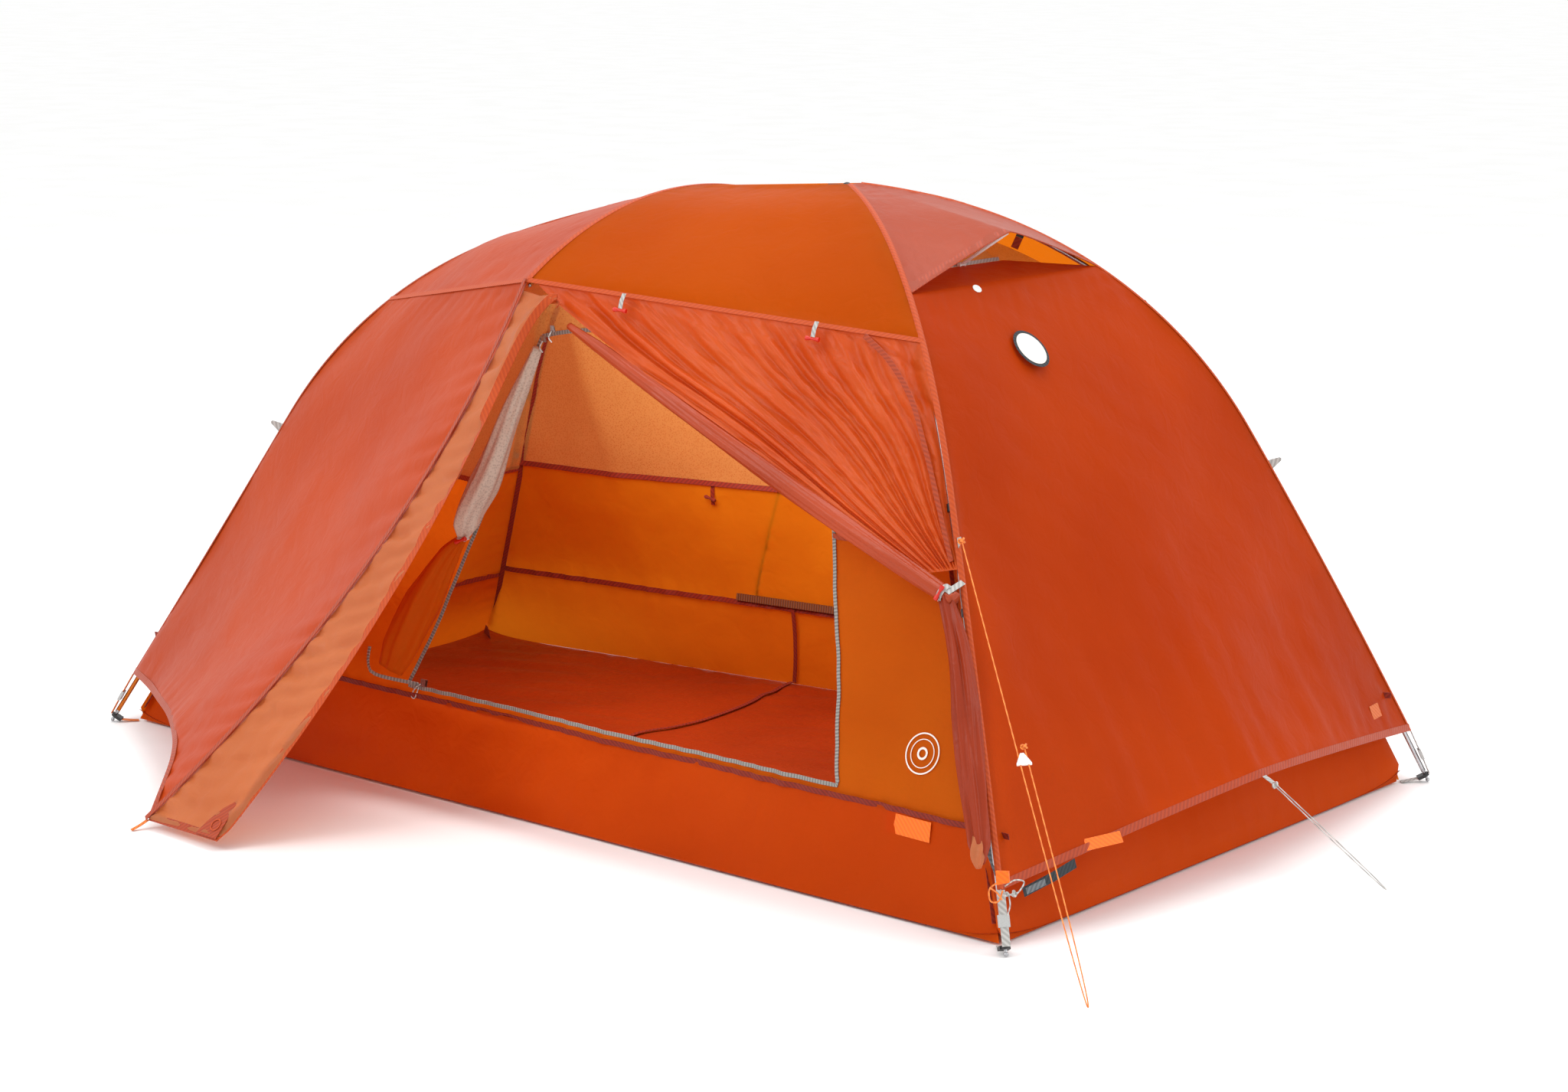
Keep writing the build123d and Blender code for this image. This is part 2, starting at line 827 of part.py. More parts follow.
def rim_middle():
    """Middle of the hood's rim, which the strut props up."""
    share = leg_share(1, rim_height)
    chord = mix(beside_leg(1, -1, share, fly_lift), beside_leg(1, 1, share, fly_lift), 0.5)
    return chord + up * hood_rise + Vector(hood_reach, 0, 0)


def window_foot():
    """Middle of the mesh window's lower edge."""
    middle = rim_middle()
    return Vector(middle.X - vent_setback - hood_reach, 0, middle.Z - vent_drop)


def strut_pivot():
    """The strut's hinge, standing on the lip just outside the mesh window."""
    return window_foot() + Vector(9, 0, cloth + 3.2)


def end_fly_edges(end, side):
    """One half of an end panel: its leg edge and its centre line, whose hem is drawn out."""
    corner = leg_share(end, fly_corner_height)
    top = leg_share(end, rim_height - 4) if end > 0 else hub_share
    edge = leg_edge(end, side, corner, top, fly_lift, leg_samples)
    centre = []
    for i, point in enumerate(edge):
        left = 1 - i / (leg_samples - 1)
        centre.append(Vector(point.X + end * hem_pull * left**1.5, 0, point.Z + hem_rise * left**2))
    return edge, centre


def end_fly(end):
    """The end panel, in two halves that meet on the centre line; the head end has a lip under its vent."""
    halves = []
    for side in (-1, 1):
        edge, centre = end_fly_edges(end, side)
        if end > 0:
            foot = window_foot()
            edge.append(Vector(foot.X, side * vent_half_width, foot.Z))
            centre.append(foot)
        halves.append(sheet(edge, centre))
    return group(halves)


def vent_hood():
    rim = leg_share(1, rim_height)
    top = hub_point(1) + up * fly_lift
    halves = []
    for side in (-1, 1):
        edge = leg_edge(1, side, hub_share, rim, fly_lift, roof_samples)
        centre = spread(Vector(edge[0].X, 0, top.Z), rim_middle(), roof_samples)
        halves.append(sheet(edge, centre))
    return group(halves)


def vent_mesh():
    """The mesh window, from the lip's edge back and up to the underside of the hood."""
    foot = window_foot()
    low = [Vector(foot.X - 2, side * window_half_width, foot.Z + 1) for side in (-1, 1)]
    high_z = rim_middle().Z - 3
    high = [Vector(foot.X - window_lean, side * window_half_width / 3, high_z) for side in (-1, 1)]
    return sheet([low[0], high[0]], [low[1], high[1]], reference=Vector(foot.X + 200, 0, foot.Z))


def vent_strut():
    """A flat strut with an eye at its foot, from the lip up to the hood's rim."""
    foot = strut_pivot()
    head = rim_middle() - Vector(9, 0, 5)
    way = (head - foot).normalized()
    with BuildPart() as piece:
        with BuildSketch(Plane(origin=foot - Vector(0, strut_width / 2, 0), z_dir=(0, 1, 0))):
            Circle(strut_pin_diameter / 2 + 1.4)
        extrude(amount=strut_width)
        add(strap(foot, head, Vector(-way.Z, 0, way.X), strut_width, strut_thickness).part)
        with BuildSketch(Plane(origin=foot - Vector(0, strut_width, 0), z_dir=(0, 1, 0))):
            Circle(strut_pin_diameter / 2 + 0.08)
        extrude(amount=strut_width * 2, mode=Mode.SUBTRACT)
    return piece


def strut_pin():
    """The pin and two ears that the strut turns on, sewn to the lip under the vent."""
    foot = strut_pivot()
    ear = 2
    gap = 0.4
    with BuildPart() as piece:
        start = Vector(0, strut_width / 2 + gap + ear, 0)
        with BuildSketch(Plane(origin=foot - start, z_dir=(0, 1, 0))):
            Circle(strut_pin_diameter / 2)
        extrude(amount=2 * start.Y)
        for side in (-1, 1):
            with Locations(foot + Vector(0, side * (strut_width / 2 + gap + ear / 2), -0.4)):
                Box(7, ear, 5.6)
    return piece


def zip_edge(side, peg, bow, count):
    """The zip of a vestibule, from the brow's end to the peg, bowed along X."""
    points = spread(brow_end(side, fly_lift), Vector(*peg), count)
    return [
        point + Vector(bow * 4 * i * (count - 1 - i) / (count - 1) ** 2, 0, 0)
        for i, point in enumerate(points)
    ]


def vestibule_leg_edge(end, side, low, count):
    """The edge of a vestibule along a leg, from the roof seam down to a height."""
    height = head_seam_height if end > 0 else foot_seam_height
    return leg_edge(end, side, leg_share(end, height), leg_share(end, low), fly_lift, count)


def arched_hem(panel, first, second, rise):
    """Cut a panel's lower edge to a shallow arch between its two corners."""
    span = second - first
    sheet_normal = span.cross(Vector(0, 0, 1)).normalized()
    middle = mix(first, second, 0.5)
    plane = Plane(origin=middle, x_dir=span, z_dir=sheet_normal)
    half = span.length / 2
    with BuildPart() as tool:
        with BuildSketch(plane):
            with BuildLine():
                arch = ThreePointArc((-half * 0.97, 0), (0, rise), (half * 0.97, 0))
                Line(arch @ 1, (half * 0.97, -200))
                Line((half * 0.97, -200), (-half * 0.97, -200))
                Line((-half * 0.97, -200), arch @ 0)
            make_face()
        extrude(amount=350, both=True)
    return cut(panel, tool)


def vestibules():
    count = 10
    foot_edge = vestibule_leg_edge(-1, -1, fly_corner_height, count)
    zip_line = zip_edge(-1, front_peg, zip_bow, count)
    export(arched_hem(sheet(foot_edge, zip_line), foot_edge[-1], zip_line[-1], vestibule_hem_rise),
           "front_vestibule_foot")

    flap = []
    flap_top = 0.03  # the flap starts just under the brow's end
    zip_line = [zip_line[0] + (zip_line[1] - zip_line[0]) * flap_top * count] + zip_line[1:]
    for i, point in enumerate(zip_line):
        share = i / (count - 1)
        width = flap_head_width + (flap_foot_width - flap_head_width) * share**1.3
        flap.append(point + Vector(width, -12 * share, 0))
    export(sheet(zip_line, flap), "storm_flap")

    back_zip = zip_edge(1, back_peg, 0, count)
    foot_edge = vestibule_leg_edge(-1, 1, fly_corner_height, count)
    export(arched_hem(sheet(foot_edge, back_zip), foot_edge[-1], back_zip[-1], vestibule_hem_rise),
           "back_vestibule_foot")
    head_edge = vestibule_leg_edge(1, 1, fly_corner_height, count)
    export(arched_hem(sheet(head_edge, back_zip), head_edge[-1], back_zip[-1], vestibule_hem_rise),
           "back_vestibule_head")
    export(gathered_half(), "front_vestibule_head")
    export(bundle(), "tied_bundle")


def tie_point():
    """The neck of the rolled vestibule, beside the head leg."""
    share = leg_share(1, tie_height)
    return beside_leg(1, -1, share, fly_lift) + Vector(-6, -roll_radius - 6, 0)


def roll_line():
    """Axis of the rolled edge, straight from under the brow's end to the tie."""
    start = brow_end(-1, fly_lift) + Vector(45, -4, -48)
    return start, tie_point()


def gathered_edges():
    """The head half of the front vestibule: its edge on the leg and its rolled edge."""
    count = 10
    leg_side = vestibule_leg_edge(1, -1, tie_height + 45, count)
    start, finish = roll_line()
    seam = leg_side[0] - brow_end(-1, fly_lift)
    top = brow_end(-1, fly_lift) + seam.normalized() * (flap_head_width + 6)
    roll_side = []
    for i in range(count):
        share = i / (count - 1)
        point = mix(start, finish, 0.93 * share) + up * (roll_radius + 1.7)
        roll_side.append(mix(top, point, min(1, share * 4)))
    return leg_side, roll_side


def gathered_half():
    return sheet(*gathered_edges())


def bundle():
    """The rolled edge down to the tie, and the gathered cloth that hangs below it along the leg."""
    start, finish = roll_line()
    foot = leg_share(1, bundle_foot_height)
    bottom = beside_leg(1, -1, foot, fly_lift) + Vector(-12, -bundle_radius - 6, 0)
    way = (finish - start).normalized()
    down = (bottom - finish).normalized()
    halfway = (way + down).normalized()
    middle = mix(finish, bottom, 0.6)
    with BuildPart() as piece:
        with BuildSketch(Plane(origin=start, z_dir=way)):
            Circle(roll_radius * 0.45)
        with BuildSketch(Plane(origin=mix(start, finish, 0.5), z_dir=way)):
            Circle(roll_radius)
        with BuildSketch(Plane(origin=finish, z_dir=halfway)):
            Circle(roll_radius * 0.9)
        with BuildSketch(Plane(origin=middle, z_dir=down)):
            Circle(bundle_radius)
        with BuildSketch(Plane(origin=bottom, z_dir=down)):
            Circle(bundle_radius * 0.7)
        loft(ruled=True)
    return piece


# ---------------------------------------------------------------- loops, toggles and cords


def tie_back():
    """The webbing loop round the rolled vestibule's neck, and its toggle."""
    start, finish = roll_line()
    way = (finish - start).normalized()
    plane = Plane(origin=finish - way * 22, z_dir=way)
    bore = roll_radius * 0.93 + 0.6
    with BuildPart(plane) as loop:
        Cylinder(bore + webbing, strap_width)
        Cylinder(bore, strap_width, mode=Mode.SUBTRACT)
    outward = Vector(0.1, -1, 0.25).normalized()
    outward = (outward - way * outward.dot(way)).normalized()
    place = plane.origin + outward * (bore + webbing + toggle_waist_radius + 0.5)
    return loop, toggle(Plane(origin=place, x_dir=way.cross(outward), z_dir=way)), place, way


def roof_loop(share):
    """A short webbing loop sewn into the roof seam, hanging over the vestibule, and its toggle."""
    leg_side, roll_side = gathered_edges()
    top = mix(roll_side[0], leg_side[0], share)
    below = mix(roll_side[1], leg_side[1], share)
    seam = (leg_side[0] - roll_side[0]).normalized()
    fall = (below - top).normalized()
    fall = (fall - seam * fall.dot(seam)).normalized()
    normal = seam.cross(fall)
    if normal.Y > 0:
        normal = normal * -1
    start = top + normal * (cloth + webbing / 2 + 0.3) + fall * 1.5
    finish = start + fall * toggle_loop_length + normal * toggle_loop_length * 0.2
    place = finish + fall * (toggle_waist_radius + 0.5) + normal * 1
    print("toggle axis", place + normal, seam)
    bar = toggle(Plane(origin=place + normal * 1, x_dir=seam, z_dir=normal))
    return strap(start, finish, normal, 10), bar


def guy_tab(end, side):
    """A sewn tab on the leg seam that a guyline ties to."""
    share = leg_share(end, guy_tab_height)
    start = beside_leg(end, side, share, fly_lift + cloth + 0.3)
    out = leg_normal(end, side, share)
    return strap(start, start + out * guy_tab_length, legs[end, side] % share, 16, webbing)


def peg_loop(peg, outward):
    """The webbing loop at a vestibule's foot, down to the ground."""
    start = Vector(*peg) + outward * 0.8
    finish = start + outward * peg_loop_length
    return strap(start, Vector(finish.X, finish.Y, webbing), up, 10, webbing)


def hem_tab(end):
    """The webbing tab in the middle of an end panel's hem."""
    corner = leg_share(end, fly_corner_height)
    edge = beside_leg(end, 1, corner, fly_lift)
    start = Vector(edge.X + end * (hem_pull + 1.2), 0, edge.Z + hem_rise)
    return strap(start, start + Vector(end * 18, 0, -9), up, 12, webbing)


def tensioner():
    """The plate that the guyline runs through, down and back up, with two bores along it."""
    start, ground, turn = (Vector(*guyline_route[i]) for i in (0, 1, 2))
    way = (ground - start).normalized()
    apart = turn - ground
    place = mix(start, ground, tensioner_place) + apart * 0.5
    bore = guyline_diameter / 2 + cord_clearance
    with BuildPart(Plane(origin=place, x_dir=apart, z_dir=way)) as plate:
        Box(*tensioner_size)
        with Locations((-apart.length / 2, 0, 0), (apart.length / 2, 0, 0)):
            Cylinder(bore, 60, mode=Mode.SUBTRACT)
    print("tensioner", place, way)
    return plate


def badge():
    """A plain round badge on the head end panel."""
    edge, centre = end_fly_edges(1, -1)
    i = min(range(len(edge) - 1), key=lambda k: abs(edge[k].Z - badge_height))
    place = mix(edge[i], centre[i], badge_share)
    fall = mix(edge[i + 1], centre[i + 1], badge_share) - place
    normal = (centre[i] - edge[i]).cross(fall).normalized()
    if normal.X < 0:
        normal = normal * -1
    place = place + normal * (cloth + badge_thickness / 2 + badge_gap)
    with BuildPart(Plane(origin=place, x_dir=(0, 1, 0), z_dir=normal)) as disc:
        Cylinder(badge_radius, badge_thickness)
    return disc


def door_slider():
    """The slider on the front door's sill zip: a channel over the tape's free edge."""
    x = door_foot_x + 40
    height = sill_height + zip_width + 1
    low, high = front_wall_y(x, height), front_wall_y(x + 1000, height)
    way = Vector(1000, high - low, 0).normalized()
    rise = Vector(0, front_wall_y(x, height) - front_wall_y(x, height - 100), 100).normalized()
    normal = way.cross(rise).normalized()
    place = Vector(x, low + cloth / 2, height)
    slot = cloth + 2 * slider_clearance
    with BuildPart(Plane(origin=place, x_dir=way, z_dir=normal)) as body:
        Box(*slider_size)
        with Locations((0, -2, 0)):
            Box(slider_size[0], slider_size[1], slot, mode=Mode.SUBTRACT)
    print("door_slider", place, way)
    return body


def details():
    loops = []
    loop, bar, place, way = tie_back()
    loops.append(loop)
    export(bar, "tie_back_toggle")
    print("tie_back_toggle", place, way)
    for share, name in ((0.25, "roof_toggle_foot"), (0.75, "roof_toggle_head")):
        loop, bar = roof_loop(share)
        loops.append(loop)
        export(bar, name)
    export(group(loops), "fly_loops")
    export(group([guy_tab(end, side) for end, side in legs]), "guy_tabs")
    outward = Vector(-0.35, -0.94, 0)
    loops = [peg_loop(front_peg, outward), peg_loop(back_peg, Vector(0, 1, 0))]
    loops += [hem_tab(1), hem_tab(-1)]
    export(group(loops), "hem_loops")
    export(tensioner(), "guyline_tensioner")
    export(cord(guyline_route, guyline_diameter / 2, guyline_bend), "guyline")
    export(cord(hem_cord_route, hem_cord_diameter / 2, hem_cord_bend), "hem_cord")
    export(badge(), "fly_badge")


os.makedirs("parts", exist_ok=True)
export(group([hub(1), hub(-1)]), "hubs")
pole_pieces()
export(brow_clamp(), "brow_clamp")
corner_fittings()
clips_and_wraps()
inner_tent()
export(fly_roof(-1), "fly_roof_front")
export(fly_roof(1), "fly_roof_back")
export(end_fly(1), "head_fly_panel")
export(end_fly(-1), "foot_fly_panel")
export(vent_hood(), "vent_hood")
export(vent_mesh(), "vent_mesh")
export(vent_strut(), "vent_strut")
export(strut_pin(), "strut_pin")
print("strut_pivot", strut_pivot())
vestibules()
details()
export(door_slider(), "door_slider")
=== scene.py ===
"""The look of a two-person tent on a pole frame: coated cloth, netting, webbing, zips and cords."""

import math

import bpy
import numpy as np
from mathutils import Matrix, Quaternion, Vector
from mathutils.bvhtree import BVHTree
from mathutils.geometry import delaunay_2d_cdt


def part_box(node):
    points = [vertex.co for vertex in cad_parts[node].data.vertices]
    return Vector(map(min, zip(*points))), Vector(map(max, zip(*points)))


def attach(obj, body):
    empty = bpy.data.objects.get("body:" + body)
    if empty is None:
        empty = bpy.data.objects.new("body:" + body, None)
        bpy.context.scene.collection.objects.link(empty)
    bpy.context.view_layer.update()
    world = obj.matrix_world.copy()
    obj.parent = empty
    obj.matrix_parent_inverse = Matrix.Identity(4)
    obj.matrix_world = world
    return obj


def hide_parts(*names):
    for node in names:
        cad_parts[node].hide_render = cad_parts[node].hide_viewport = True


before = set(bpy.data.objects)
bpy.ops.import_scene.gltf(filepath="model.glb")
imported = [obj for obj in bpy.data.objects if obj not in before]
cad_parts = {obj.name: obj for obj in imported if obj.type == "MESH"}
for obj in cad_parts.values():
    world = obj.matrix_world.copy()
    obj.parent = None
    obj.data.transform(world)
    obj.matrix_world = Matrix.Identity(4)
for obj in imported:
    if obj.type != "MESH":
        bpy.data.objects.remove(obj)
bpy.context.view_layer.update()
scene = bpy.context.scene

# ---------------------------------------------------------------- sizes of the tent, in metres

UP = np.array([0.0, 0.0, 1.0])
INSIDE = np.array([0.0, 0.0, 0.35])
FLOOR_LENGTH, HEAD_WIDTH, FOOT_WIDTH = 2.235, 1.320, 1.020
HEAD, FOOT = 1, -1
FRONT, BACK = -1, 1
FLY = 0.012  # from a pole's axis out to the flysheet
INNER = -0.036  # and in to the inner tent
HUBS = {HEAD: (0.295, 0, 1.125), FOOT: (-0.245, 0, 1.054)}
LEAVING = {HEAD: 5.6, FOOT: 12.8}  # degrees below level
SHOULDERS = {HEAD: (0.193, 0.035), FOOT: (0.233, 0.068)}
KNEES = {HEAD: (0.370, 0.677), FOOT: (0.398, 0.636)}
BROW_X, BROW_TOP, BROW_HALF, BROW_LOW = -0.071, 1.0972, 0.462, 0.960
SEAM_HEIGHT = {HEAD: 0.905, FOOT: 0.862}
CORNER_HEIGHT = 0.095
RIM_HEIGHT = 0.975
HUB_SHARE = 0.015
TIE_HEIGHT = 0.520
BATHTUB, BACK_SOLID, FRONT_SOLID, SILL_LINE = 0.175, 0.440, 0.580, 0.206
FRONT_PEG, BACK_PEG = np.array([-0.484, -1.043, 0.016]), np.array([-0.120, 1.150, 0.016])
ZIP_BOW = 0.095
WINDOW_FOOT = np.array([0.546, 0.0, 0.997])
GRID = 0.011  # spacing of the cloth's mesh
CREASE_ALLOWANCE = 1.01  # assumed, not measured: every sheet's own area over its flat area
POLE_BORE = 0.00465  # radius of the clips' bore, round an 8.7 mm pole
CLIP_SHARES, WRAP_SHARES = (0.2, 0.38, 0.55, 0.72), (0.3, 0.66)  # where clips and wraps sit down each leg
GUY_HEIGHT = 0.604
GUY_THICK, HEM_CORD_THICK = 0.0022, 0.0020

# ---------------------------------------------------------------- lines and curves


def unit(v):
    v = np.asarray(v, float)
    return v / np.maximum(np.linalg.norm(v, axis=-1, keepdims=True), 1e-12)


def smooth(t):
    t = np.clip(t, 0, 1)
    return t * t * (3 - 2 * t)


def mix(a, b, t):
    return a + (b - a) * t


def straight(a, b, count=2):
    return mix(np.asarray(a, float), np.asarray(b, float), np.linspace(0, 1, count)[:, None])


def tangent_arc(start, way, end, count=40):
    """Arc that leaves start along way and ends at end, and the way it is going there."""
    way, chord = unit(way), end - start
    side = unit(chord - way * (chord @ way))
    angle = math.atan2(chord @ side, chord @ way)
    turn = angle * np.linspace(0, 1, count)[:, None]
    reach = np.linalg.norm(chord) * np.sin(turn) / math.sin(angle)
    points = start + reach * (way * np.cos(turn) + side * np.sin(turn))
    return points, way * math.cos(2 * angle) + side * math.sin(2 * angle)


def through(a, b, c, count=60):
    """Arc through three points."""
    a, b, c = (np.asarray(p, float) for p in (a, b, c))
    x = unit(c - a)
    normal = unit(np.cross(b - a, c - a))
    y = np.cross(normal, x)
    bx, by, cx = (b - a) @ x, (b - a) @ y, (c - a) @ x
    centre_y = (bx * bx + by * by - cx * bx) / (2 * by)
    centre = a + x * cx / 2 + y * centre_y
    radius = np.linalg.norm(a - centre)
    first = math.atan2(-centre_y, -cx / 2)
    last = math.atan2(-centre_y, cx / 2)
    if by > 0 and last > first:
        first += 2 * math.pi
    if by < 0 and last < first:
        last += 2 * math.pi
    turn = np.linspace(first, last, count)[:, None]
    return centre + radius * (x * np.cos(turn) + y * np.sin(turn))


class Run:
    """A line that is read by its share of the way along."""

    def __init__(self, points):
        self.points = np.asarray(points, float)
        steps = np.linalg.norm(np.diff(self.points, axis=0), axis=1)
        self.along = np.concatenate([[0], np.cumsum(steps)])
        self.length = self.along[-1]

    def at(self, share):
        place = np.asarray(share, float) * self.length
        return np.stack([np.interp(place, self.along, self.points[:, k]) for k in range(3)], axis=-1)

    def way(self, share):
        share = np.asarray(share, float)
        return unit(self.at(np.minimum(share + 0.004, 1)) - self.at(np.maximum(share - 0.004, 0)))


def resample(points, count):
    return Run(points).at(np.linspace(0, 1, count))


def rounded(points, count=120):
    """A smooth line through a few points."""
    points = np.asarray(points, float)
    padded = np.vstack([2 * points[0] - points[1], points, 2 * points[-1] - points[-2]])
    out = []
    for p0, p1, p2, p3 in zip(padded, padded[1:], padded[2:], padded[3:]):
        t = np.linspace(0, 1, 12, endpoint=False)[:, None]
        out.append(0.5 * (2 * p1 + (p2 - p0) * t + (2 * p0 - 5 * p1 + 4 * p2 - p3) * t**2
                          + (3 * p1 - p0 - 3 * p2 + p3) * t**3))
    return resample(np.vstack(out + [points[-1:]]), count)


def corner_point(end, side):
    return np.array([end * FLOOR_LENGTH / 2, side * (HEAD_WIDTH if end > 0 else FOOT_WIDTH) / 2, 0.0])


def tip_point(end, side):
    return corner_point(end, side) + np.array([end * 0.038, side * 0.038, 0.004])


def outward(end, side):
    span = tip_point(end, side) - np.array(HUBS[end])
    return unit(span * np.array([1, 1, 0]))


def leg_run(end, side):
    hub, tip, out = np.array(HUBS[end], float), tip_point(end, side), outward(end, side)
    angle = math.radians(LEAVING[end])
    reach, drop = SHOULDERS[end]
    knee = tip * np.array([1, 1, 0]) - out * KNEES[end][0] + UP * KNEES[end][1]
    first, way = tangent_arc(hub, out * math.cos(angle) - UP * math.sin(angle), hub + out * reach - UP * drop)
    second, way = tangent_arc(first[-1], way, knee)
    third, _ = tangent_arc(knee, way, tip)
    return Run(np.concatenate([first, second[1:], third[1:]]))


LEGS = {(end, side): leg_run(end, side) for end in (HEAD, FOOT) for side in (FRONT, BACK)}
BROW = Run(through((BROW_X, -BROW_HALF, BROW_LOW), (BROW_X, 0, BROW_TOP), (BROW_X, BROW_HALF, BROW_LOW)))


def leg_name(end, side):
    return ("head" if end > 0 else "foot") + ("_front" if side < 0 else "_back")


def share_at(end, height):
    run = LEGS[end, FRONT]
    shares = np.linspace(0.05, 1, 800)
    return float(np.interp(-height, -run.at(shares)[:, 2], shares))


def leg_normal(end, side, share):
    way = LEGS[end, side].way(share)
    out = outward(end, side)
    level = (way * out).sum(-1, keepdims=True)
    return unit(out * -way[..., 2:3] + UP * level)


def beside_leg(end, side, share, lift):
    return LEGS[end, side].at(share) + leg_normal(end, side, share) * lift


def leg_edge(end, side, first, last, lift, count=60):
    return beside_leg(end, side, np.linspace(first, last, count), lift)


def brow_edge(side, lift, count=40):
    """From the ridge to one end of the brow pole."""
    share = 0.5 + side * 0.5 * np.linspace(0, 1, count)
    way = BROW.way(share)
    return BROW.at(share) + unit(np.stack([0 * way[:, 0], -way[:, 2], way[:, 1]], axis=1)) * lift


def brow_end(side, lift):
    return brow_edge(side, lift)[-1]


# ---------------------------------------------------------------- unevenness of cloth


def waves(s, seed, shortest, longest, count=9):
    """Uneven ripples along a line, between about -1 and 1."""
    rng = np.random.default_rng(seed)
    lengths = np.exp(rng.uniform(math.log(shortest), math.log(longest), count))
    phases = rng.uniform(0, 2 * math.pi, count)
    total = sum(np.sin(2 * math.pi * s / k + p) * (k / longest) ** 0.3 for k, p in zip(lengths, phases))
    return total / math.sqrt(count)


def creases(x, y, seed, size, stretch=1.0, turn=0.0, count=14):
    """Soft creases over a surface, longer along the direction turn."""
    rng = np.random.default_rng(seed)
    c, s = math.cos(turn), math.sin(turn)
    a, b = (x * c + y * s) / stretch, -x * s + y * c
    total = np.zeros(np.shape(x))
    for _ in range(count):
        way, phase, grow = rng.uniform(0, math.pi), rng.uniform(0, 2 * math.pi), rng.uniform(0.6, 1.7)
        total = total + np.sin(2 * math.pi * (a * math.cos(way) + b * math.sin(way)) / (size * grow) + phase)
    return total / math.sqrt(count)


def sharpen(h, power=0.6):
    """Turns soft waves into creases with narrower crests."""
    return np.sign(h) * np.abs(h) ** power - 0.3 * np.abs(h)


# ---------------------------------------------------------------- materials


def linear(colour):
    """An sRGB hex colour as linear values."""
    parts = [int(colour[i : i + 2], 16) / 255 for i in (1, 3, 5)]
    return tuple(c / 12.92 if c <= 0.04045 else ((c + 0.055) / 1.055) ** 2.4 for c in parts) + (1.0,)


def add_node(tree, kind, settings=None, links=None):
    """Add a node with its settings (attributes or input values) and links (input: (node, output))."""
    made = tree.nodes.new(kind)
    for key, value in (settings or {}).items():
        if isinstance(key, int) or key in made.inputs:
            made.inputs[key].default_value = value
        else:
            setattr(made, key, value)
    for key, (source, output) in (links or {}).items():
        tree.links.new(source.outputs[output], made.inputs[key])
    return made


def new_material(name):
    material = bpy.data.materials.new(name)
    material.use_nodes = True
    material.node_tree.nodes.clear()
    return material, material.node_tree


def ramp(tree, source, output, first, second, low=0.35, high=0.65):
    made = add_node(tree, "ShaderNodeValToRGB", {}, {"Fac": (source, output)})
    made.color_ramp.elements[0].position, made.color_ramp.elements[1].position = low, high
    made.color_ramp.elements[0].color, made.color_ramp.elements[1].color = linear(first), linear(second)
    return made


def ripstop(name, colour, shade, glow, through_share, roughness, crumple=1.0, shine=0.16):
    """Silicone-coated ripstop nylon: calendered and coated, so it has a soft broad shine, lets light through,
    crumples finely, and shows a faint square grid. The real grid is 5 mm and is drawn at 9 mm so that it shows."""
    material, tree = new_material(name)
    place = add_node(tree, "ShaderNodeTexCoord")
    mottle = add_node(tree, "ShaderNodeTexNoise", {"Scale": 2.6, "Detail": 3.0}, {"Vector": (place, "Object")})
    base = ramp(tree, mottle, "Fac", shade, colour, 0.34, 0.62)
    axes = add_node(tree, "ShaderNodeSeparateXYZ", {}, {0: (place, "UV")})
    lines = []
    for axis in ("X", "Y"):
        cell = add_node(tree, "ShaderNodeMath", {"operation": "PINGPONG", 1: 0.0045}, {0: (axes, axis)})
        lines.append(add_node(tree, "ShaderNodeMath", {"operation": "LESS_THAN", 1: 0.0006}, {0: (cell, 0)}))
    grid = add_node(tree, "ShaderNodeMath", {"operation": "MAXIMUM"}, {0: (lines[0], 0), 1: (lines[1], 0)})
    faint = add_node(tree, "ShaderNodeMath", {"operation": "MULTIPLY", 1: 0.10}, {0: (grid, 0)})
    woven = add_node(
        tree, "ShaderNodeMix", {"data_type": "RGBA", 7: linear(shade)}, {0: (faint, 0), 6: (base, "Color")}
    )
    folds = add_node(
        tree, "ShaderNodeTexNoise", {"Scale": 26.0, "Detail": 4.0, "Distortion": 1.4}, {"Vector": (place, "Object")}
    )
    pucker = add_node(tree, "ShaderNodeTexNoise", {"Scale": 7.0, "Detail": 2.0}, {"Vector": (place, "Object")})
    height = add_node(
        tree, "ShaderNodeMath", {"operation": "MULTIPLY_ADD", 1: 0.35}, {0: (folds, "Fac"), 2: (pucker, "Fac")}
    )
    bump = add_node(
        tree, "ShaderNodeBump", {"Strength": 0.20 * crumple, "Distance": 0.02}, {"Height": (height, 0)}
    )
    gloss = add_node(
        tree, "ShaderNodeMapRange", {"To Min": roughness - 0.06, "To Max": roughness + 0.08}, {"Value": (folds, "Fac")}
    )
    cloth = add_node(
        tree,
        "ShaderNodeBsdfPrincipled",
        {"IOR": 1.45, "Specular IOR Level": shine, "Sheen Weight": 0.02, "Sheen Roughness": 0.4},
        {"Base Color": (woven, 2), "Roughness": (gloss, 0), "Normal": (bump, 0)},
    )
    light = add_node(tree, "ShaderNodeBsdfTranslucent", {"Color": linear(glow)}, {"Normal": (bump, 0)})
    both = add_node(tree, "ShaderNodeMixShader", {0: through_share}, {1: (cloth, 0), 2: (light, 0)})
    add_node(tree, "ShaderNodeOutputMaterial", {}, {"Surface": (both, 0)})
    return material


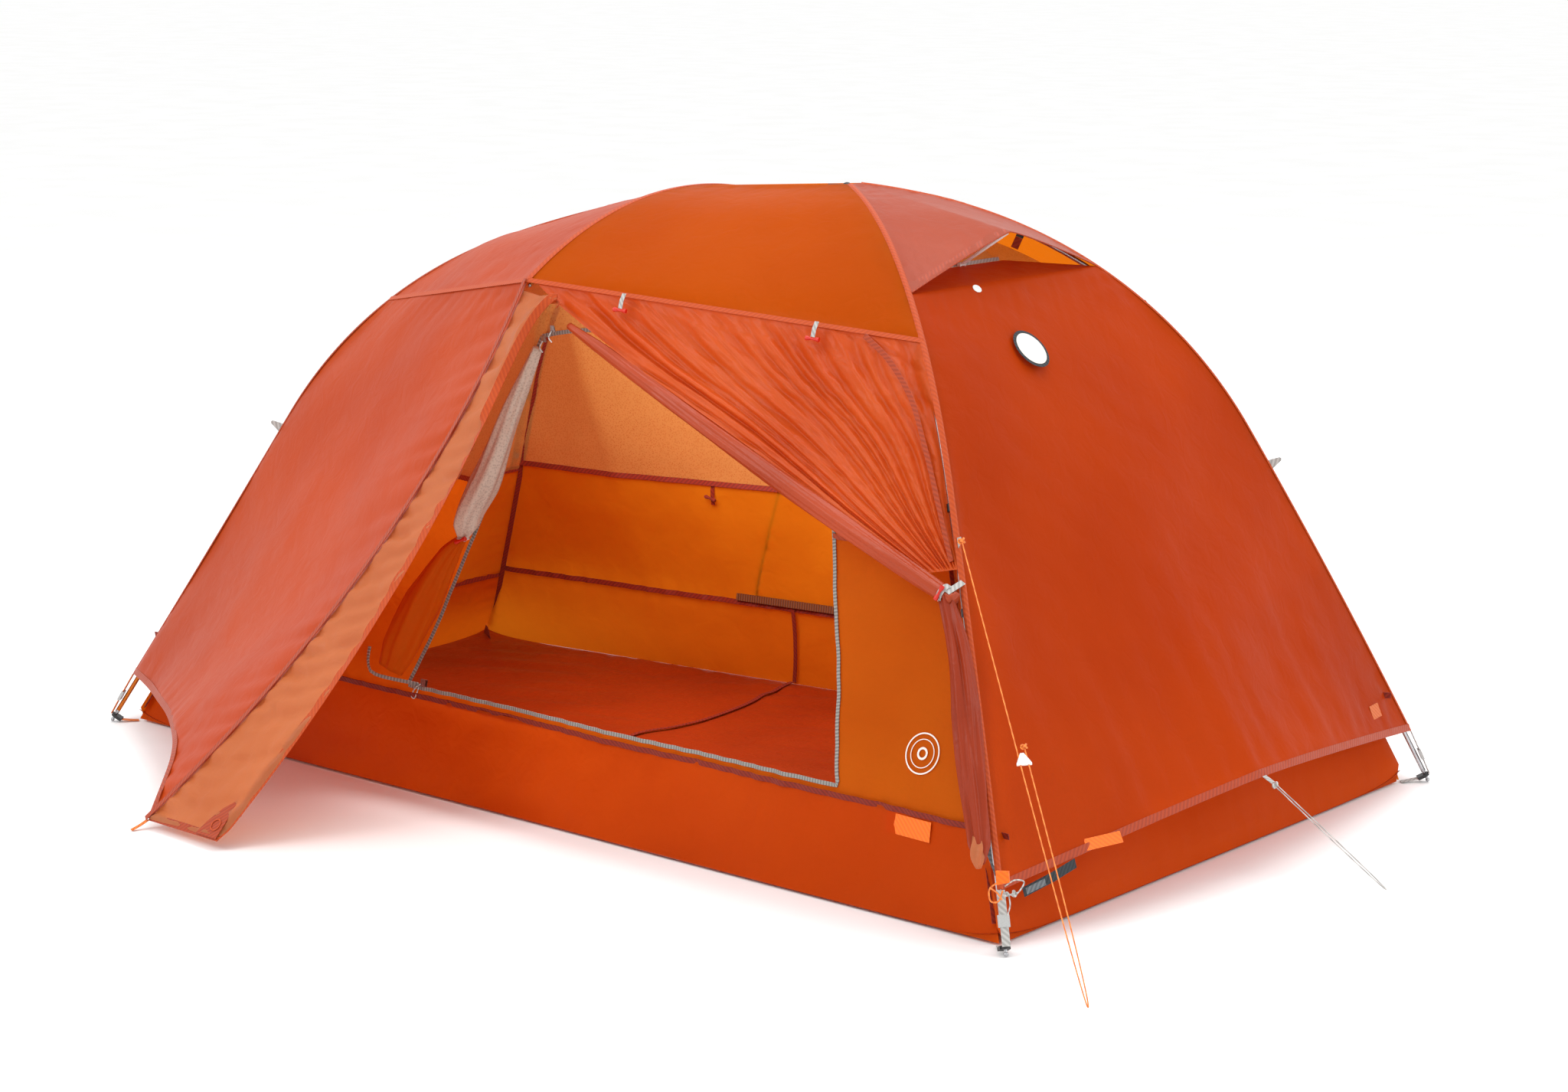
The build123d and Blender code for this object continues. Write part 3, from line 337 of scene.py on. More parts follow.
def patterned(name, pattern, settings, where, output, tones, span, relief, shine, shader, fuzz=None):
    """One texture gives a material its two tones, its relief and the change in its shine.

    tones are (low, high) hex colours, span is where they meet, relief is bump strength and distance,
    shine is (least, most) roughness, and fuzz is the scale of a finer noise that drives the shine instead."""
    material, tree = new_material(name)
    place = add_node(tree, "ShaderNodeTexCoord")
    drawn = add_node(tree, pattern, settings, {"Vector": (place, where)})
    base = ramp(tree, drawn, output, *tones, *span)
    strength, distance = relief
    bump = add_node(tree, "ShaderNodeBump", {"Strength": strength, "Distance": distance}, {"Height": (drawn, output)})
    driver = (drawn, output)
    if fuzz:
        driver = (add_node(tree, "ShaderNodeTexNoise", {"Scale": fuzz}, {"Vector": (place, "Object")}), "Fac")
    gloss = add_node(tree, "ShaderNodeMapRange", {"To Min": shine[0], "To Max": shine[1]}, {"Value": driver})
    links = {"Base Color": (base, 0), "Roughness": (gloss, 0), "Normal": (bump, 0)}
    made = add_node(tree, "ShaderNodeBsdfPrincipled", shader, links)
    add_node(tree, "ShaderNodeOutputMaterial", {}, {"Surface": (made, 0)})
    return material


def netting(name, colour, shade, alpha):
    """Knitted polyester netting: matt thread with open holes. The real holes are 1 mm and the knit is drawn at 4 mm."""
    return patterned(name, "ShaderNodeTexVoronoi", {"Scale": 250.0}, "Object", "Distance", (shade, colour),
                     (0.1, 0.6), (0.25, 0.001), (0.55, 0.75), {"Alpha": alpha})


def webbing(name, colour, shade, roughness=0.62):
    """Woven polyester tape: matt, with close ribs across it. The real ribs are 1 mm and are drawn at 2.5 mm."""
    ribs = {"Scale": 62.0, "Distortion": 1.0, "bands_direction": "DIAGONAL"}
    return patterned(name, "ShaderNodeTexWave", ribs, "UV", "Fac", (shade, colour), (0.2, 0.8), (0.5, 0.0006),
                     (roughness - 0.1, roughness + 0.12), {"Sheen Weight": 0.06, "Specular IOR Level": 0.3}, 300.0)


def zipper(name, tape, teeth):
    """Coil zip on woven tape: moulded nylon teeth across the middle. The real teeth are 1 mm and are drawn at 3 mm."""
    return patterned(name, "ShaderNodeTexWave", {"Scale": 52.0, "bands_direction": "X"}, "UV", "Fac", (tape, teeth),
                     (0.3, 0.7), (0.8, 0.001), (0.55, 0.35), {})


def metal(name, colour, shade, roughness):
    """Drawn aluminium, anodised or bare: fine scratches along it spread the reflections a little."""
    return patterned(name, "ShaderNodeTexNoise", {"Scale": 420.0, "Detail": 3.0}, "Object", "Fac", (shade, colour),
                     (0.35, 0.65), (0.08, 0.0003), (roughness - 0.06, roughness + 0.1), {"Metallic": 1.0})


def moulded(name, colour, shade, roughness, subsurface=0.0):
    """Injection-moulded plastic: a fine spark-eroded grain, and a soft shine."""
    return patterned(name, "ShaderNodeTexNoise", {"Scale": 900.0, "Detail": 2.0}, "Object", "Fac", (shade, colour),
                     (0.35, 0.65), (0.15, 0.0003), (roughness - 0.05, roughness + 0.1),
                     {"IOR": 1.5, "Subsurface Weight": subsurface})


def braid(name, colour, shade):
    """Braided cord: polyester strands that cross each other every 3 mm, matt with a little sheen."""
    plait = {"Scale": 55.0, "Distortion": 3.0, "bands_direction": "DIAGONAL"}
    return patterned(name, "ShaderNodeTexWave", plait, "Object", "Fac", (shade, colour), (0.2, 0.7), (0.5, 0.0006),
                     (0.5, 0.7), {"Sheen Weight": 0.15})


FINISH = {
    # The flysheet is one coated fabric, and these four copies differ in colour only by painted light. The foot roof,
    # foot end and vestibule copy holds a painted reflection, the head roof copy painted light, and the head end and
    # hood copies painted shade.
    "fly_painted_reflection": ripstop("coated_ripstop_nylon_with_painted_reflection", "#BA4818", "#AF4014", "#EA5214", 0.22, 0.42, shine=0.20),
    "fly_painted_light": ripstop("coated_ripstop_nylon_with_painted_light", "#C05B08", "#B65304", "#F07E10", 0.50, 0.42,
                          shine=0.05),
    "fly_painted_shade": ripstop("coated_ripstop_nylon_with_painted_shade", "#B13F04", "#A63802", "#EA5406", 0.34, 0.40, shine=0.07),
    "fly_hood_painted_shade": ripstop("coated_ripstop_nylon_hood_with_painted_shade", "#A63E14", "#9C3810", "#DC4C0E", 0.20, 0.36, shine=0.30),
    # Used for the storm flap and the bundle's end: the flysheet's fabric drawn paler, painted light.
    "flap": ripstop("coated_ripstop_nylon_flap_painted_light", "#C87C4E", "#BA6E40", "#F08434", 0.42, 0.40, 1.5, shine=0.42),
    # The gathered head half: the flysheet's fabric drawn paler, painted light.
    "gathered": ripstop("coated_ripstop_nylon_gathered_painted_light", "#D05C20", "#C24E16", "#FF7824", 0.34, 0.34, 1.4, shine=0.26),
    "rolled": ripstop("coated_ripstop_nylon_rolled_edge", "#B8451A", "#A63A12", "#E0560F", 0.18, 0.34, 1.4, shine=0.42),
    # The tied bundle: the flysheet's fabric drawn darker, painted shade.
    "bundle": ripstop("coated_ripstop_nylon_rolled_painted_shade", "#9C3412", "#8A2A0C", "#D04A0C", 0.15, 0.36, 1.4, shine=0.3),
    "inner": ripstop("light_ripstop_nylon_inner", "#D26C12", "#C6600C", "#F27C16", 0.50, 0.52, shine=0.06),
    # A paler copy of the inner fabric for the back wall, back door and foot end wall: painted light.
    "inner_lit": ripstop("light_ripstop_nylon_inner_painted_light", "#DE8614", "#D0760E", "#F8941C", 0.50, 0.52, shine=0.1),
    "bathtub": ripstop("heavy_ripstop_nylon_bathtub", "#C4490A", "#B84006", "#EE6E0C", 0.40, 0.48, shine=0.06),
    # A paler copy of the bathtub fabric for the back bathtub strip: painted light.
    "bathtub_lit": ripstop("heavy_ripstop_nylon_bathtub_painted_light", "#D27414", "#C6660E", "#F48616", 0.45, 0.48,
                           shine=0.1),
    "floor": ripstop("heavy_ripstop_nylon_floor", "#A03308", "#902A05", "#D85A08", 0.12, 0.40, 1.8, shine=0.3),
    "net": netting("polyester_netting_orange", "#DCA256", "#C88A40", 0.50),
    "net_grey": netting("polyester_netting_rolled", "#CFC2B2", "#AFA192", 0.96),
    "seam": webbing("bound_seam_tape_dark_red", "#86200A", "#6E1804"),
    "hem": webbing("turned_hem_deep_orange", "#A63A0E", "#953108", 0.5),
    # A paler copy of the turned hem for the roof, brow, head leg and storm flap seams: painted light.
    "hem_painted_light": webbing("turned_hem_painted_light", "#B8460F", "#AC3E0A", 0.6),
    "grey_tape": webbing("woven_webbing_light_grey", "#B9B8B4", "#9C9B97"),
    "slate_tape": webbing("woven_webbing_slate_grey", "#6F7478", "#575C60"),
    "orange_tape": webbing("woven_webbing_orange", "#E8791E", "#C96312"),
    "patch": webbing("bright_orange_patch", "#F5700A", "#E96406", 0.4),
    "print": moulded("screen_printed_ink_white", "#EDE6DF", "#E2DAD2", 0.45),
    "label": webbing("woven_label_dark", "#2E3338", "#22262A"),
    "zip": zipper("coil_zip_grey", "#74726E", "#97958F"),
    "zip_brown": zipper("coil_zip_brown", "#5A2A10", "#74401E"),
    "strap_print": webbing("woven_label_plain", "#C9642E", "#BE5A26"),
    "pole": metal("anodised_aluminium_silver", "#C9CACC", "#B4B5B8", 0.28),
    "pole_orange": metal("anodised_aluminium_orange", "#C8702E", "#B25F22", 0.30),
    "bare_metal": metal("turned_aluminium_bare", "#B9B9BB", "#9E9EA1", 0.32),
    "zinc": metal("die_cast_zinc_slider", "#A9A9AB", "#8E8E91", 0.34),
    "black": moulded("moulded_nylon_black", "#1D1D1F", "#151517", 0.42),
    "grey": moulded("moulded_acetal_grey", "#B7B8B6", "#A6A7A5", 0.40),
    "red": moulded("moulded_acetal_red", "#D2230E", "#BD1A08", 0.36),
    "white": moulded("moulded_nylon_translucent_white", "#F1EFEA", "#E4E1DB", 0.38, 0.15),
    "cord_orange": braid("braided_cord_orange", "#F28A33", "#D96E1B"),
    "cord_grey": braid("braided_cord_grey", "#C3C2BE", "#9A9995"),
    "elastic": braid("covered_elastic_cord", "#D8D6D2", "#B5B3AF"),
}

CAD_FINISH = {
    "pole": ["head_front_leg", "head_back_leg", "ridge_pole", "brow_pole"],
    "pole_orange": ["foot_front_leg", "foot_back_leg"],
    "black": ["hubs", "brow_clamp", "pole_clips", "tip_cradles"],
    "bare_metal": ["pole_tips", "pole_ferrules"],
    "elastic": ["shock_cords"],
    "zinc": ["door_slider"],
    "grey": ["fly_adjusters"],
    "red": ["roof_toggle_foot", "roof_toggle_head", "tie_back_toggle"],
    "white": ["vent_strut", "strut_pin"],
}

# ---------------------------------------------------------------- making pieces


def part_middle(name):
    """The middle of a rigid part's box."""
    low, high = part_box(name)
    return np.array((low + high) / 2)


def finish_piece(obj, finish, nodes=(), body="tent"):
    obj.data.materials.append(FINISH[finish])
    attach(obj, body)
    if nodes:
        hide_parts(*nodes)
    return obj


def mesh_piece(name, vertices, faces, uvs=None):
    """A mesh from points and faces. uvs is one place in metres for each point."""
    mesh = bpy.data.meshes.new(name)
    mesh.from_pydata([tuple(map(float, v)) for v in vertices], [], [tuple(map(int, f)) for f in faces])
    mesh.update()
    if uvs is not None:
        layer = mesh.uv_layers.new(name="flat")
        index = np.zeros(len(mesh.loops), np.int32)
        mesh.loops.foreach_get("vertex_index", index)
        layer.data.foreach_set("uv", np.asarray(uvs, np.float32)[index].ravel())
    mesh.polygons.foreach_set("use_smooth", [True] * len(mesh.polygons))
    obj = bpy.data.objects.new(name, mesh)
    scene.collection.objects.link(obj)
    return obj


def coons(top, bottom, left, right, grid=GRID):
    """A surface between four edges. top and bottom run left to right, left and right run downwards."""
    columns = max(4, int(max(Run(top).length, Run(bottom).length) / grid))
    rows = max(4, int(max(Run(left).length, Run(right).length) / grid))
    u, v = np.linspace(0, 1, columns)[None, :, None], np.linspace(0, 1, rows)[:, None, None]
    a, b = resample(top, columns)[None], resample(bottom, columns)[None]
    c, d = resample(left, rows)[:, None], resample(right, rows)[:, None]
    corners = (1 - v) * ((1 - u) * a[:, :1] + u * a[:, -1:]) + v * ((1 - u) * b[:, :1] + u * b[:, -1:])
    return (1 - v) * a + v * b + (1 - u) * c + u * d - corners


def across(grid):
    """Distances in metres along the rows and down the columns of a surface."""
    s = np.concatenate([0 * grid[:, :1, 0], np.cumsum(np.linalg.norm(np.diff(grid, axis=1), axis=2), axis=1)], axis=1)
    t = np.concatenate([0 * grid[:1, :, 0], np.cumsum(np.linalg.norm(np.diff(grid, axis=0), axis=2), axis=0)], axis=0)
    return s, t


def normals(grid, reference=INSIDE):
    n = unit(np.cross(np.gradient(grid, axis=1), np.gradient(grid, axis=0)))
    middle = grid[grid.shape[0] // 2, grid.shape[1] // 2] - reference
    return n if n[grid.shape[0] // 2, grid.shape[1] // 2] @ middle > 0 else -n


def raise_by(grid, height, edge=0.02, reference=INSIDE):
    """Move a surface outward by height, fading out over the edge, where it is sewn."""
    s, t = across(grid)
    near = np.minimum(np.minimum(s, s[:, -1:] - s), np.minimum(t, t[-1:] - t))
    return grid + normals(grid, reference) * (height * smooth(near / edge))[..., None]


def tension(grid, seed, fine=0.0016, pull=0.003):
    """Small creases that run off the seams, and a slow unevenness between them."""
    s, t = across(grid)
    left, right, top, low = s, s[:, -1:] - s, t, t[-1:] - t
    h = pull * creases(s, t, seed, 0.42) + 0.35 * fine * sharpen(creases(s, t, seed + 1, 0.09, 2.5, 0.7))
    h += fine * sharpen(waves(t, seed + 2, 0.022, 0.07)) * np.exp(-left / 0.06) * (0.5 + 0.5 * waves(t, seed + 9, 0.2,
            0.5))
    h += fine * sharpen(waves(t, seed + 3, 0.022, 0.07)) * np.exp(-right / 0.06) * (0.5 + 0.5 * waves(t, seed + 8, 0.2,
            0.5))
    h += fine * sharpen(waves(s, seed + 4, 0.022, 0.08)) * np.exp(-top / 0.05)
    h += fine * sharpen(waves(s, seed + 5, 0.022, 0.08)) * np.exp(-low / 0.05)
    return h


def cloth_piece(name, grid, finish, nodes=(), body="tent"):
    """One cut of cloth from a grid of points; its flat size at the longest runs along it is worked out and not kept."""
    rows, columns = grid.shape[:2]
    s, t = across(grid)
    i = np.arange(rows * columns).reshape(rows, columns)
    faces = np.stack([i[:-1, :-1], i[:-1, 1:], i[1:, 1:], i[1:, :-1]], axis=-1).reshape(-1, 4)
    n = np.cross(np.gradient(grid, axis=1), np.gradient(grid, axis=0))[rows // 2, columns // 2]
    if n @ (grid[rows // 2, columns // 2] - INSIDE) < 0:
        faces = faces[:, ::-1]
    obj = mesh_piece(name, grid.reshape(-1, 3), faces, np.stack([s, t], axis=-1).reshape(-1, 2))
    finish_piece(obj, finish, nodes, body)
    declare(obj, s[:, -1].max(), t[-1].max())
    return obj


def declare(obj, width, length):
    area = sum(p.area for p in obj.data.polygons) / CREASE_ALLOWANCE
    flat = (round(width, 3), round(length, 3))
    area = float(np.clip(area, 0.301 * flat[0] * flat[1], 0.999 * flat[0] * flat[1]))


def cut_piece(name, outline, surface, finish, nodes, relief, grid=0.016):
    """A flat-patterned wall laid over surface(x, z), which gives Y, and moved by relief(x, z)."""

    def filled(loop):
        closed = np.vstack([loop, loop[:1]])
        points = []
        for a, b in zip(closed[:-1], closed[1:]):
            count = max(1, int(math.ceil(np.linalg.norm(b - a) / grid)))
            points += [tuple(mix(a, b, k / count)) for k in range(count)]
        return points

    def inside(points, loop):
        x, y = points[:, 0], points[:, 1]
        hit = np.zeros(len(points), bool)
        for a, b in zip(loop, np.roll(loop, -1, axis=0)):
            crosses = (a[1] > y) != (b[1] > y)
            with np.errstate(divide="ignore", invalid="ignore"):
                where = (b[0] - a[0]) * (y - a[1]) / (b[1] - a[1]) + a[0]
            hit ^= crosses & (x < where)
        return hit

    loop = np.asarray(outline, float)
    points = filled(loop)
    edges = [(k, (k + 1) % len(points)) for k in range(len(points))]
    low, high = loop.min(0), loop.max(0)
    xs, zs = np.meshgrid(np.arange(low[0], high[0], grid), np.arange(low[1], high[1], grid))
    free = np.column_stack([xs.ravel(), zs.ravel()])
    free = free[inside(free, loop)]
    ring_points = np.array(points)
    gap = np.array([np.min(np.abs(ring_points - p).max(1)) for p in free]) if len(free) else np.zeros(0)
    points += [tuple(p) for p in free[gap > grid * 0.5]]
    verts, _, faces, *_ = delaunay_2d_cdt([Vector(p) for p in points], edges, [], 0, 1e-6)
    flat = np.array([tuple(v) for v in verts])
    faces = np.array([list(f) for f in faces])
    faces = faces[inside(flat[faces].mean(1), loop)]
    used, faces = np.unique(faces, return_inverse=True)
    flat, faces = flat[used], faces.reshape(-1, 3)
    y = surface(flat[:, 0], flat[:, 1]) + relief(flat[:, 0], flat[:, 1])
    obj = mesh_piece(name, np.column_stack([flat[:, 0], y, flat[:, 1]]), faces, flat)
    finish_piece(obj, finish, nodes)
    declare(obj, high[0] - low[0], high[1] - low[1])
    return obj


def ribbon(name, path, facing, width, thickness, finish, nodes=(), body="tent", drop=0.0, step=0.012):
    """A closed flat band along a line, such as tape, a hem or webbing. facing is the way its face looks."""
    path = np.asarray(path, float)
    count = max(2, int(Run(path).length / step) + 1)
    facing = np.broadcast_to(np.asarray(facing, float), path.shape)
    share = Run(path).along / Run(path).length
    line = resample(path, count)
    spots = np.linspace(0, 1, count)
    up = np.stack([np.interp(spots, share, facing[:, k]) for k in range(3)], axis=1)
    way = unit(np.gradient(line, axis=0))
    up = unit(up - way * (up * way).sum(1, keepdims=True))
    side = np.cross(way, up)
    w, h = width / 2, thickness / 2
    edge, inside, shallow = w * 0.92, w * 0.4, drop * 0.25
    ring = [(-w, -drop), (-edge, h - drop), (-inside, h - shallow), (inside, h - shallow), (edge, h - drop),
            (w, -drop), (edge, -h - drop), (inside, -h - shallow), (-inside, -h - shallow), (-edge, -h - drop)]
    vertices = np.concatenate([line + side * a + up * b for a, b in ring]).reshape(len(ring), count, 3)
    vertices = vertices.transpose(1, 0, 2).reshape(-1, 3)
    n = len(ring)
    faces = [(i * n + k, i * n + (k + 1) % n, (i + 1) * n + (k + 1) % n, (i + 1) * n + k)
             for i in range(count - 1) for k in range(n)]
    faces += [tuple(range(n))[::-1], tuple((count - 1) * n + k for k in range(n))]
    along = np.repeat(spots * Run(path).length, n)
    sideways = np.tile([a for a, _ in ring], count)
    obj = mesh_piece(name, vertices, [f[::-1] for f in faces], np.column_stack([along, sideways]))
    obj.data.polygons.foreach_set("use_smooth", [False] * len(obj.data.polygons))
    return finish_piece(obj, finish, nodes, body)


def tube(name, path, radius, finish, nodes=(), body="tent", around=40, fold=None, step=0.008, flat=1.0, up=UP):
    """A closed bundle along a line. radius(s) and fold(s, turn) shape it; flat squeezes it along up."""
    run = Run(path)
    count = max(3, int(run.length / step) + 1)
    spots = np.linspace(0, 1, count)
    line = run.at(spots)
    way = unit(np.gradient(line, axis=0))
    side = unit(np.cross(way, np.broadcast_to(up, way.shape)))
    over = np.cross(side, way)
    turn = np.linspace(0, 2 * math.pi, around, endpoint=False)
    s, a = spots[:, None], turn[None]
    r = radius(s) * (1 + (fold(s, a) if fold else 0 * a))
    grid = line[:, None] + side[:, None] * (r * np.cos(a))[..., None] + over[:, None] * (r * np.sin(a) * flat)[...,
            None]
    vertices = np.vstack([grid.reshape(-1, 3), line[:1], line[-1:]])
    faces = [(i * around + k, i * around + (k + 1) % around, (i + 1) * around + (k + 1) % around, (i + 1) * around + k)
             for i in range(count - 1) for k in range(around)]
    base, last = count * around, (count - 1) * around
    faces += [(base, (k + 1) % around, k) for k in range(around)]
    faces += [(base + 1, last + k, last + (k + 1) % around) for k in range(around)]
    spread_out = np.column_stack([np.repeat(spots * run.length, around), np.tile(turn * 0.02, count)])
    obj = mesh_piece(name, vertices, [f[::-1] for f in faces], np.vstack([spread_out, [[0, 0], [run.length, 0]]]))
    return finish_piece(obj, finish, nodes, body)


def plate(name, outline, origin, x, y, thickness, finish, nodes=(), body="tent"):
    """A flat plate with softened edges from an outline drawn on the axes x and y."""
    x, y = unit(x), unit(y)
    z = np.cross(x, y)
    outline = np.asarray(outline, float)
    middle = outline.mean(0)
    soft = min(thickness * 0.35, 0.0006)
    shrink = middle + (outline - middle) * (1 - soft / np.linalg.norm(outline - middle, axis=1, keepdims=True))
    layers = [(shrink, -thickness / 2), (outline, -thickness / 2 + soft), (outline, thickness / 2 - soft),
              (shrink, thickness / 2)]
    n = len(outline)
    vertices = np.concatenate([origin + l[:, :1] * x + l[:, 1:] * y + h * z for l, h in layers])
    faces = [(j * n + k, j * n + (k + 1) % n, (j + 1) * n + (k + 1) % n,
              (j + 1) * n + k) for j in range(3) for k in range(n)]
    faces += [tuple(range(n))[::-1], tuple(3 * n + k for k in range(n))]
    obj = mesh_piece(name, vertices, faces, np.concatenate([l for l, _ in layers]))
    obj.data.polygons.foreach_set("use_smooth", [False] * len(obj.data.polygons))
    return finish_piece(obj, finish, nodes, body)


def round_outline(radius, count=40, stretch=1.0):
    turn = np.linspace(0, 2 * math.pi, count, endpoint=False)
    return np.column_stack([np.cos(turn) * radius * stretch, np.sin(turn) * radius])


def knot(name, centre, size, way, finish, body="tent"):
    """An overhand knot: one turn and a half of cord wound on itself."""
    t = np.linspace(0, 2 * math.pi, 90)
    x = unit(way)
    y = unit(np.cross(x, UP + 0.1))
    z = np.cross(x, y)
    a, b, c = np.sin(t) + 2 * np.sin(2 * t), np.cos(t) - 2 * np.cos(2 * t), -np.sin(3 * t)
    path = np.asarray(centre) + size / 6 * (a[:, None] * y + b[:, None] * z + 1.3 * c[:, None] * x)
    return tube(name, path[:-2], lambda s: size * 0.17 + 0 * s, finish, body=body, around=10, step=size / 12)


def cord_piece(name, route, diameter, finish, node):
    """A cord on a smooth line whose control points are the route's."""
    curve = bpy.data.curves.new(name, "CURVE")
    curve.dimensions = "3D"
    curve.resolution_u = 24
    spline = curve.splines.new("NURBS")
    spline.points.add(len(route) - 1)
    for point, place in zip(spline.points, route):
        point.co = (*place, 1.0)
    spline.order_u = 3
    spline.use_endpoint_u = True
    curve.bevel_depth = diameter / 2
    curve.bevel_resolution = 3
    curve.use_fill_caps = True
    obj = bpy.data.objects.new(name, curve)
    scene.collection.objects.link(obj)
    return finish_piece(obj, finish, [node])


# ---------------------------------------------------------------- camera, floor and light

CAMERA_PLACE = Vector((4.1848, -5.0790, 1.6930))
YAW, PITCH, ROLL = 2.2423, -0.1911, -0.0016
camera_data = bpy.data.cameras.new("camera")
camera_data.lens, camera_data.sensor_width = 79.94, 36.0
camera_data.clip_start, camera_data.clip_end = 0.05, 200
camera = bpy.data.objects.new("camera", camera_data)
scene.collection.objects.link(camera)
looking = Vector((math.cos(PITCH) * math.cos(YAW), math.cos(PITCH) * math.sin(YAW), math.sin(PITCH)))
camera.location = CAMERA_PLACE
camera.rotation_mode = "QUATERNION"
camera.rotation_quaternion = Quaternion(looking, ROLL) @ looking.to_track_quat("-Z", "Y")
scene.camera = camera

ground = mesh_piece("studio_floor", [(-40, -40, -0.001), (40, -40, -0.001), (40, 40, -0.001), (-40, 40, -0.001)],
                    [(0, 1, 2, 3)])
paper, paper_tree = new_material("painted_studio_floor")
paper_place = add_node(paper_tree, "ShaderNodeTexCoord")
paper_grain = add_node(paper_tree, "ShaderNodeTexNoise", {"Scale": 3.0}, {"Vector": (paper_place, "Object")})
paper_tone = ramp(paper_tree, paper_grain, "Fac", "#F7F7F6", "#FAFAFA")
paper_shader = add_node(paper_tree, "ShaderNodeBsdfPrincipled", {"Roughness": 0.9}, {"Base Color": (paper_tone, 0)})
add_node(paper_tree, "ShaderNodeOutputMaterial", {}, {"Surface": (paper_shader, 0)})
ground.data.materials.append(paper)

world = bpy.data.worlds.new("studio_light")
scene.world = world
world.use_nodes = True
world.node_tree.nodes["Background"].inputs[0].default_value = (1, 1, 1, 1)
world.node_tree.nodes["Background"].inputs[1].default_value = 1.05
scene.view_settings.view_transform = "Standard"


def soft_light(name, place, aim, size, power):
    data = bpy.data.lights.new(name, "AREA")
    data.shape, data.size, data.energy = "SQUARE", size, power
    lamp = bpy.data.objects.new(name, data)
    scene.collection.objects.link(lamp)
    lamp.location = place
    lamp.visible_camera = False
    lamp.rotation_mode = "QUATERNION"
    lamp.rotation_quaternion = (Vector(aim) - Vector(place)).to_track_quat("-Z", "Y")


soft_light("key_light", (-1.6, -4.6, 4.2), (-0.1, -0.2, 0.5), 2.6, 95)
soft_light("top_light", (0.4, 0.6, 4.6), (0.1, 0, 0.6), 3.2, 85)
soft_light("side_light", (5.2, 0.8, 2.6), (0.7, 0, 0.5), 2.2, 45)
soft_light("cabin_light", (-0.12, -0.12, 0.80), (-0.15, 0.30, 0.15), 0.5, 9.0)

# ---------------------------------------------------------------- cords

GUYLINE = [(0.9264, -0.5122, 0.6215), (1.4, -0.843, 0.004), (1.4082, -0.8312, 0.004), (1.1561, -0.6551, 0.3327)]
HEM_CORD = [(1.2269, -0.0034, 0.1529), (1.452, -0.0064, 0.004), (1.452, 0.0064, 0.004), (1.2286, 0.0034, 0.1518)]
guyline = cord_piece("guyline_cord", GUYLINE, GUY_THICK, "cord_orange", "guyline")
guy_knot = knot("guyline_knot", (0.9285, -0.5135, 0.6185), 0.011, (0.56, -0.39, -0.73), "cord_orange")
end_knot = knot("guyline_end_knot", (1.1545, -0.6540, 0.3355), 0.010, (0.56, -0.39, -0.73), "cord_orange")
hem_cord = cord_piece("hem_pull_cord", HEM_CORD, HEM_CORD_THICK, "cord_grey", "hem_cord")
hem_knot = knot("hem_cord_knot", (1.2310, 0.0, 0.1498), 0.011, (0.83, 0, -0.55), "cord_grey")

# ---------------------------------------------------------------- rigid parts keep their own shape

for finish, names in CAD_FINISH.items():
    for name in names:
        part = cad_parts[name]
        part.data.materials.clear()
        part.data.materials.append(FINISH[finish])

# ---------------------------------------------------------------- flysheet roof

crossing = brow_edge(BACK, FLY)[0]
for side, where in ((FRONT, "front"), (BACK, "back")):
    node = f"fly_roof_{where}"
    for end, which in ((HEAD, "head"), (FOOT, "foot")):
        leg = leg_edge(end, side, HUB_SHARE, share_at(end, SEAM_HEIGHT[end]), FLY)
        ridge = straight(crossing, leg[0], 30)
        brow = brow_edge(side, FLY)
        seam = straight(brow[-1], leg[-1], 30)
        grid = coons(ridge, seam, brow, leg)
        grid = raise_by(grid, tension(grid, 11 + end + 3 * side, 0.0012, 0.0035))
        # head half: the flysheet copy with painted light; foot half: the copy with a painted reflection
        finish = "fly_painted_light" if end == HEAD else "fly_painted_reflection"
        cloth_piece(f"{node}_{which}", grid, finish, [node] if end == HEAD else ())
        facing = unit(np.cross(seam[-1] - seam[0], UP)) * -side
        facing = facing if facing[1] * side > 0 else -facing
        ribbon(f"roof_seam_{where}_{which}", seam + facing * 0.0012 + UP * 0.0006, facing + UP, 0.010, 0.0012,
               "hem_painted_light")

ribbon("brow_seam", np.vstack([brow_edge(FRONT, FLY + 0.0012)[::-1], brow_edge(BACK, FLY + 0.0012)[1:]]), UP,
       0.012, 0.0012, "hem_painted_light", drop=0.0008)

# ---------------------------------------------------------------- flysheet ends, hood and vent


def end_surface(end, rows=110, columns=110):
    """The end panel from its hem up to the vent or the hub: drawn out at the middle of the hem."""
    top = share_at(end, RIM_HEIGHT - 0.004) if end == HEAD else HUB_SHARE
    shares = np.linspace(top, share_at(end, CORNER_HEIGHT), rows)
    left, right = beside_leg(end, FRONT, shares, FLY), beside_leg(end, BACK, shares, FLY)
    u = np.linspace(0, 1, columns)[None, :, None]
    grid = mix(left[:, None], right[:, None], u)
    down = np.linspace(0, 1, rows)[:, None]
    hump = 1 - np.abs(2 * u[..., 0] - 1) ** 1.35
    grid[..., 0] += end * 0.080 * down**1.5 * hump
    grid[..., 2] += 0.062 * down**2 * hump
    return grid


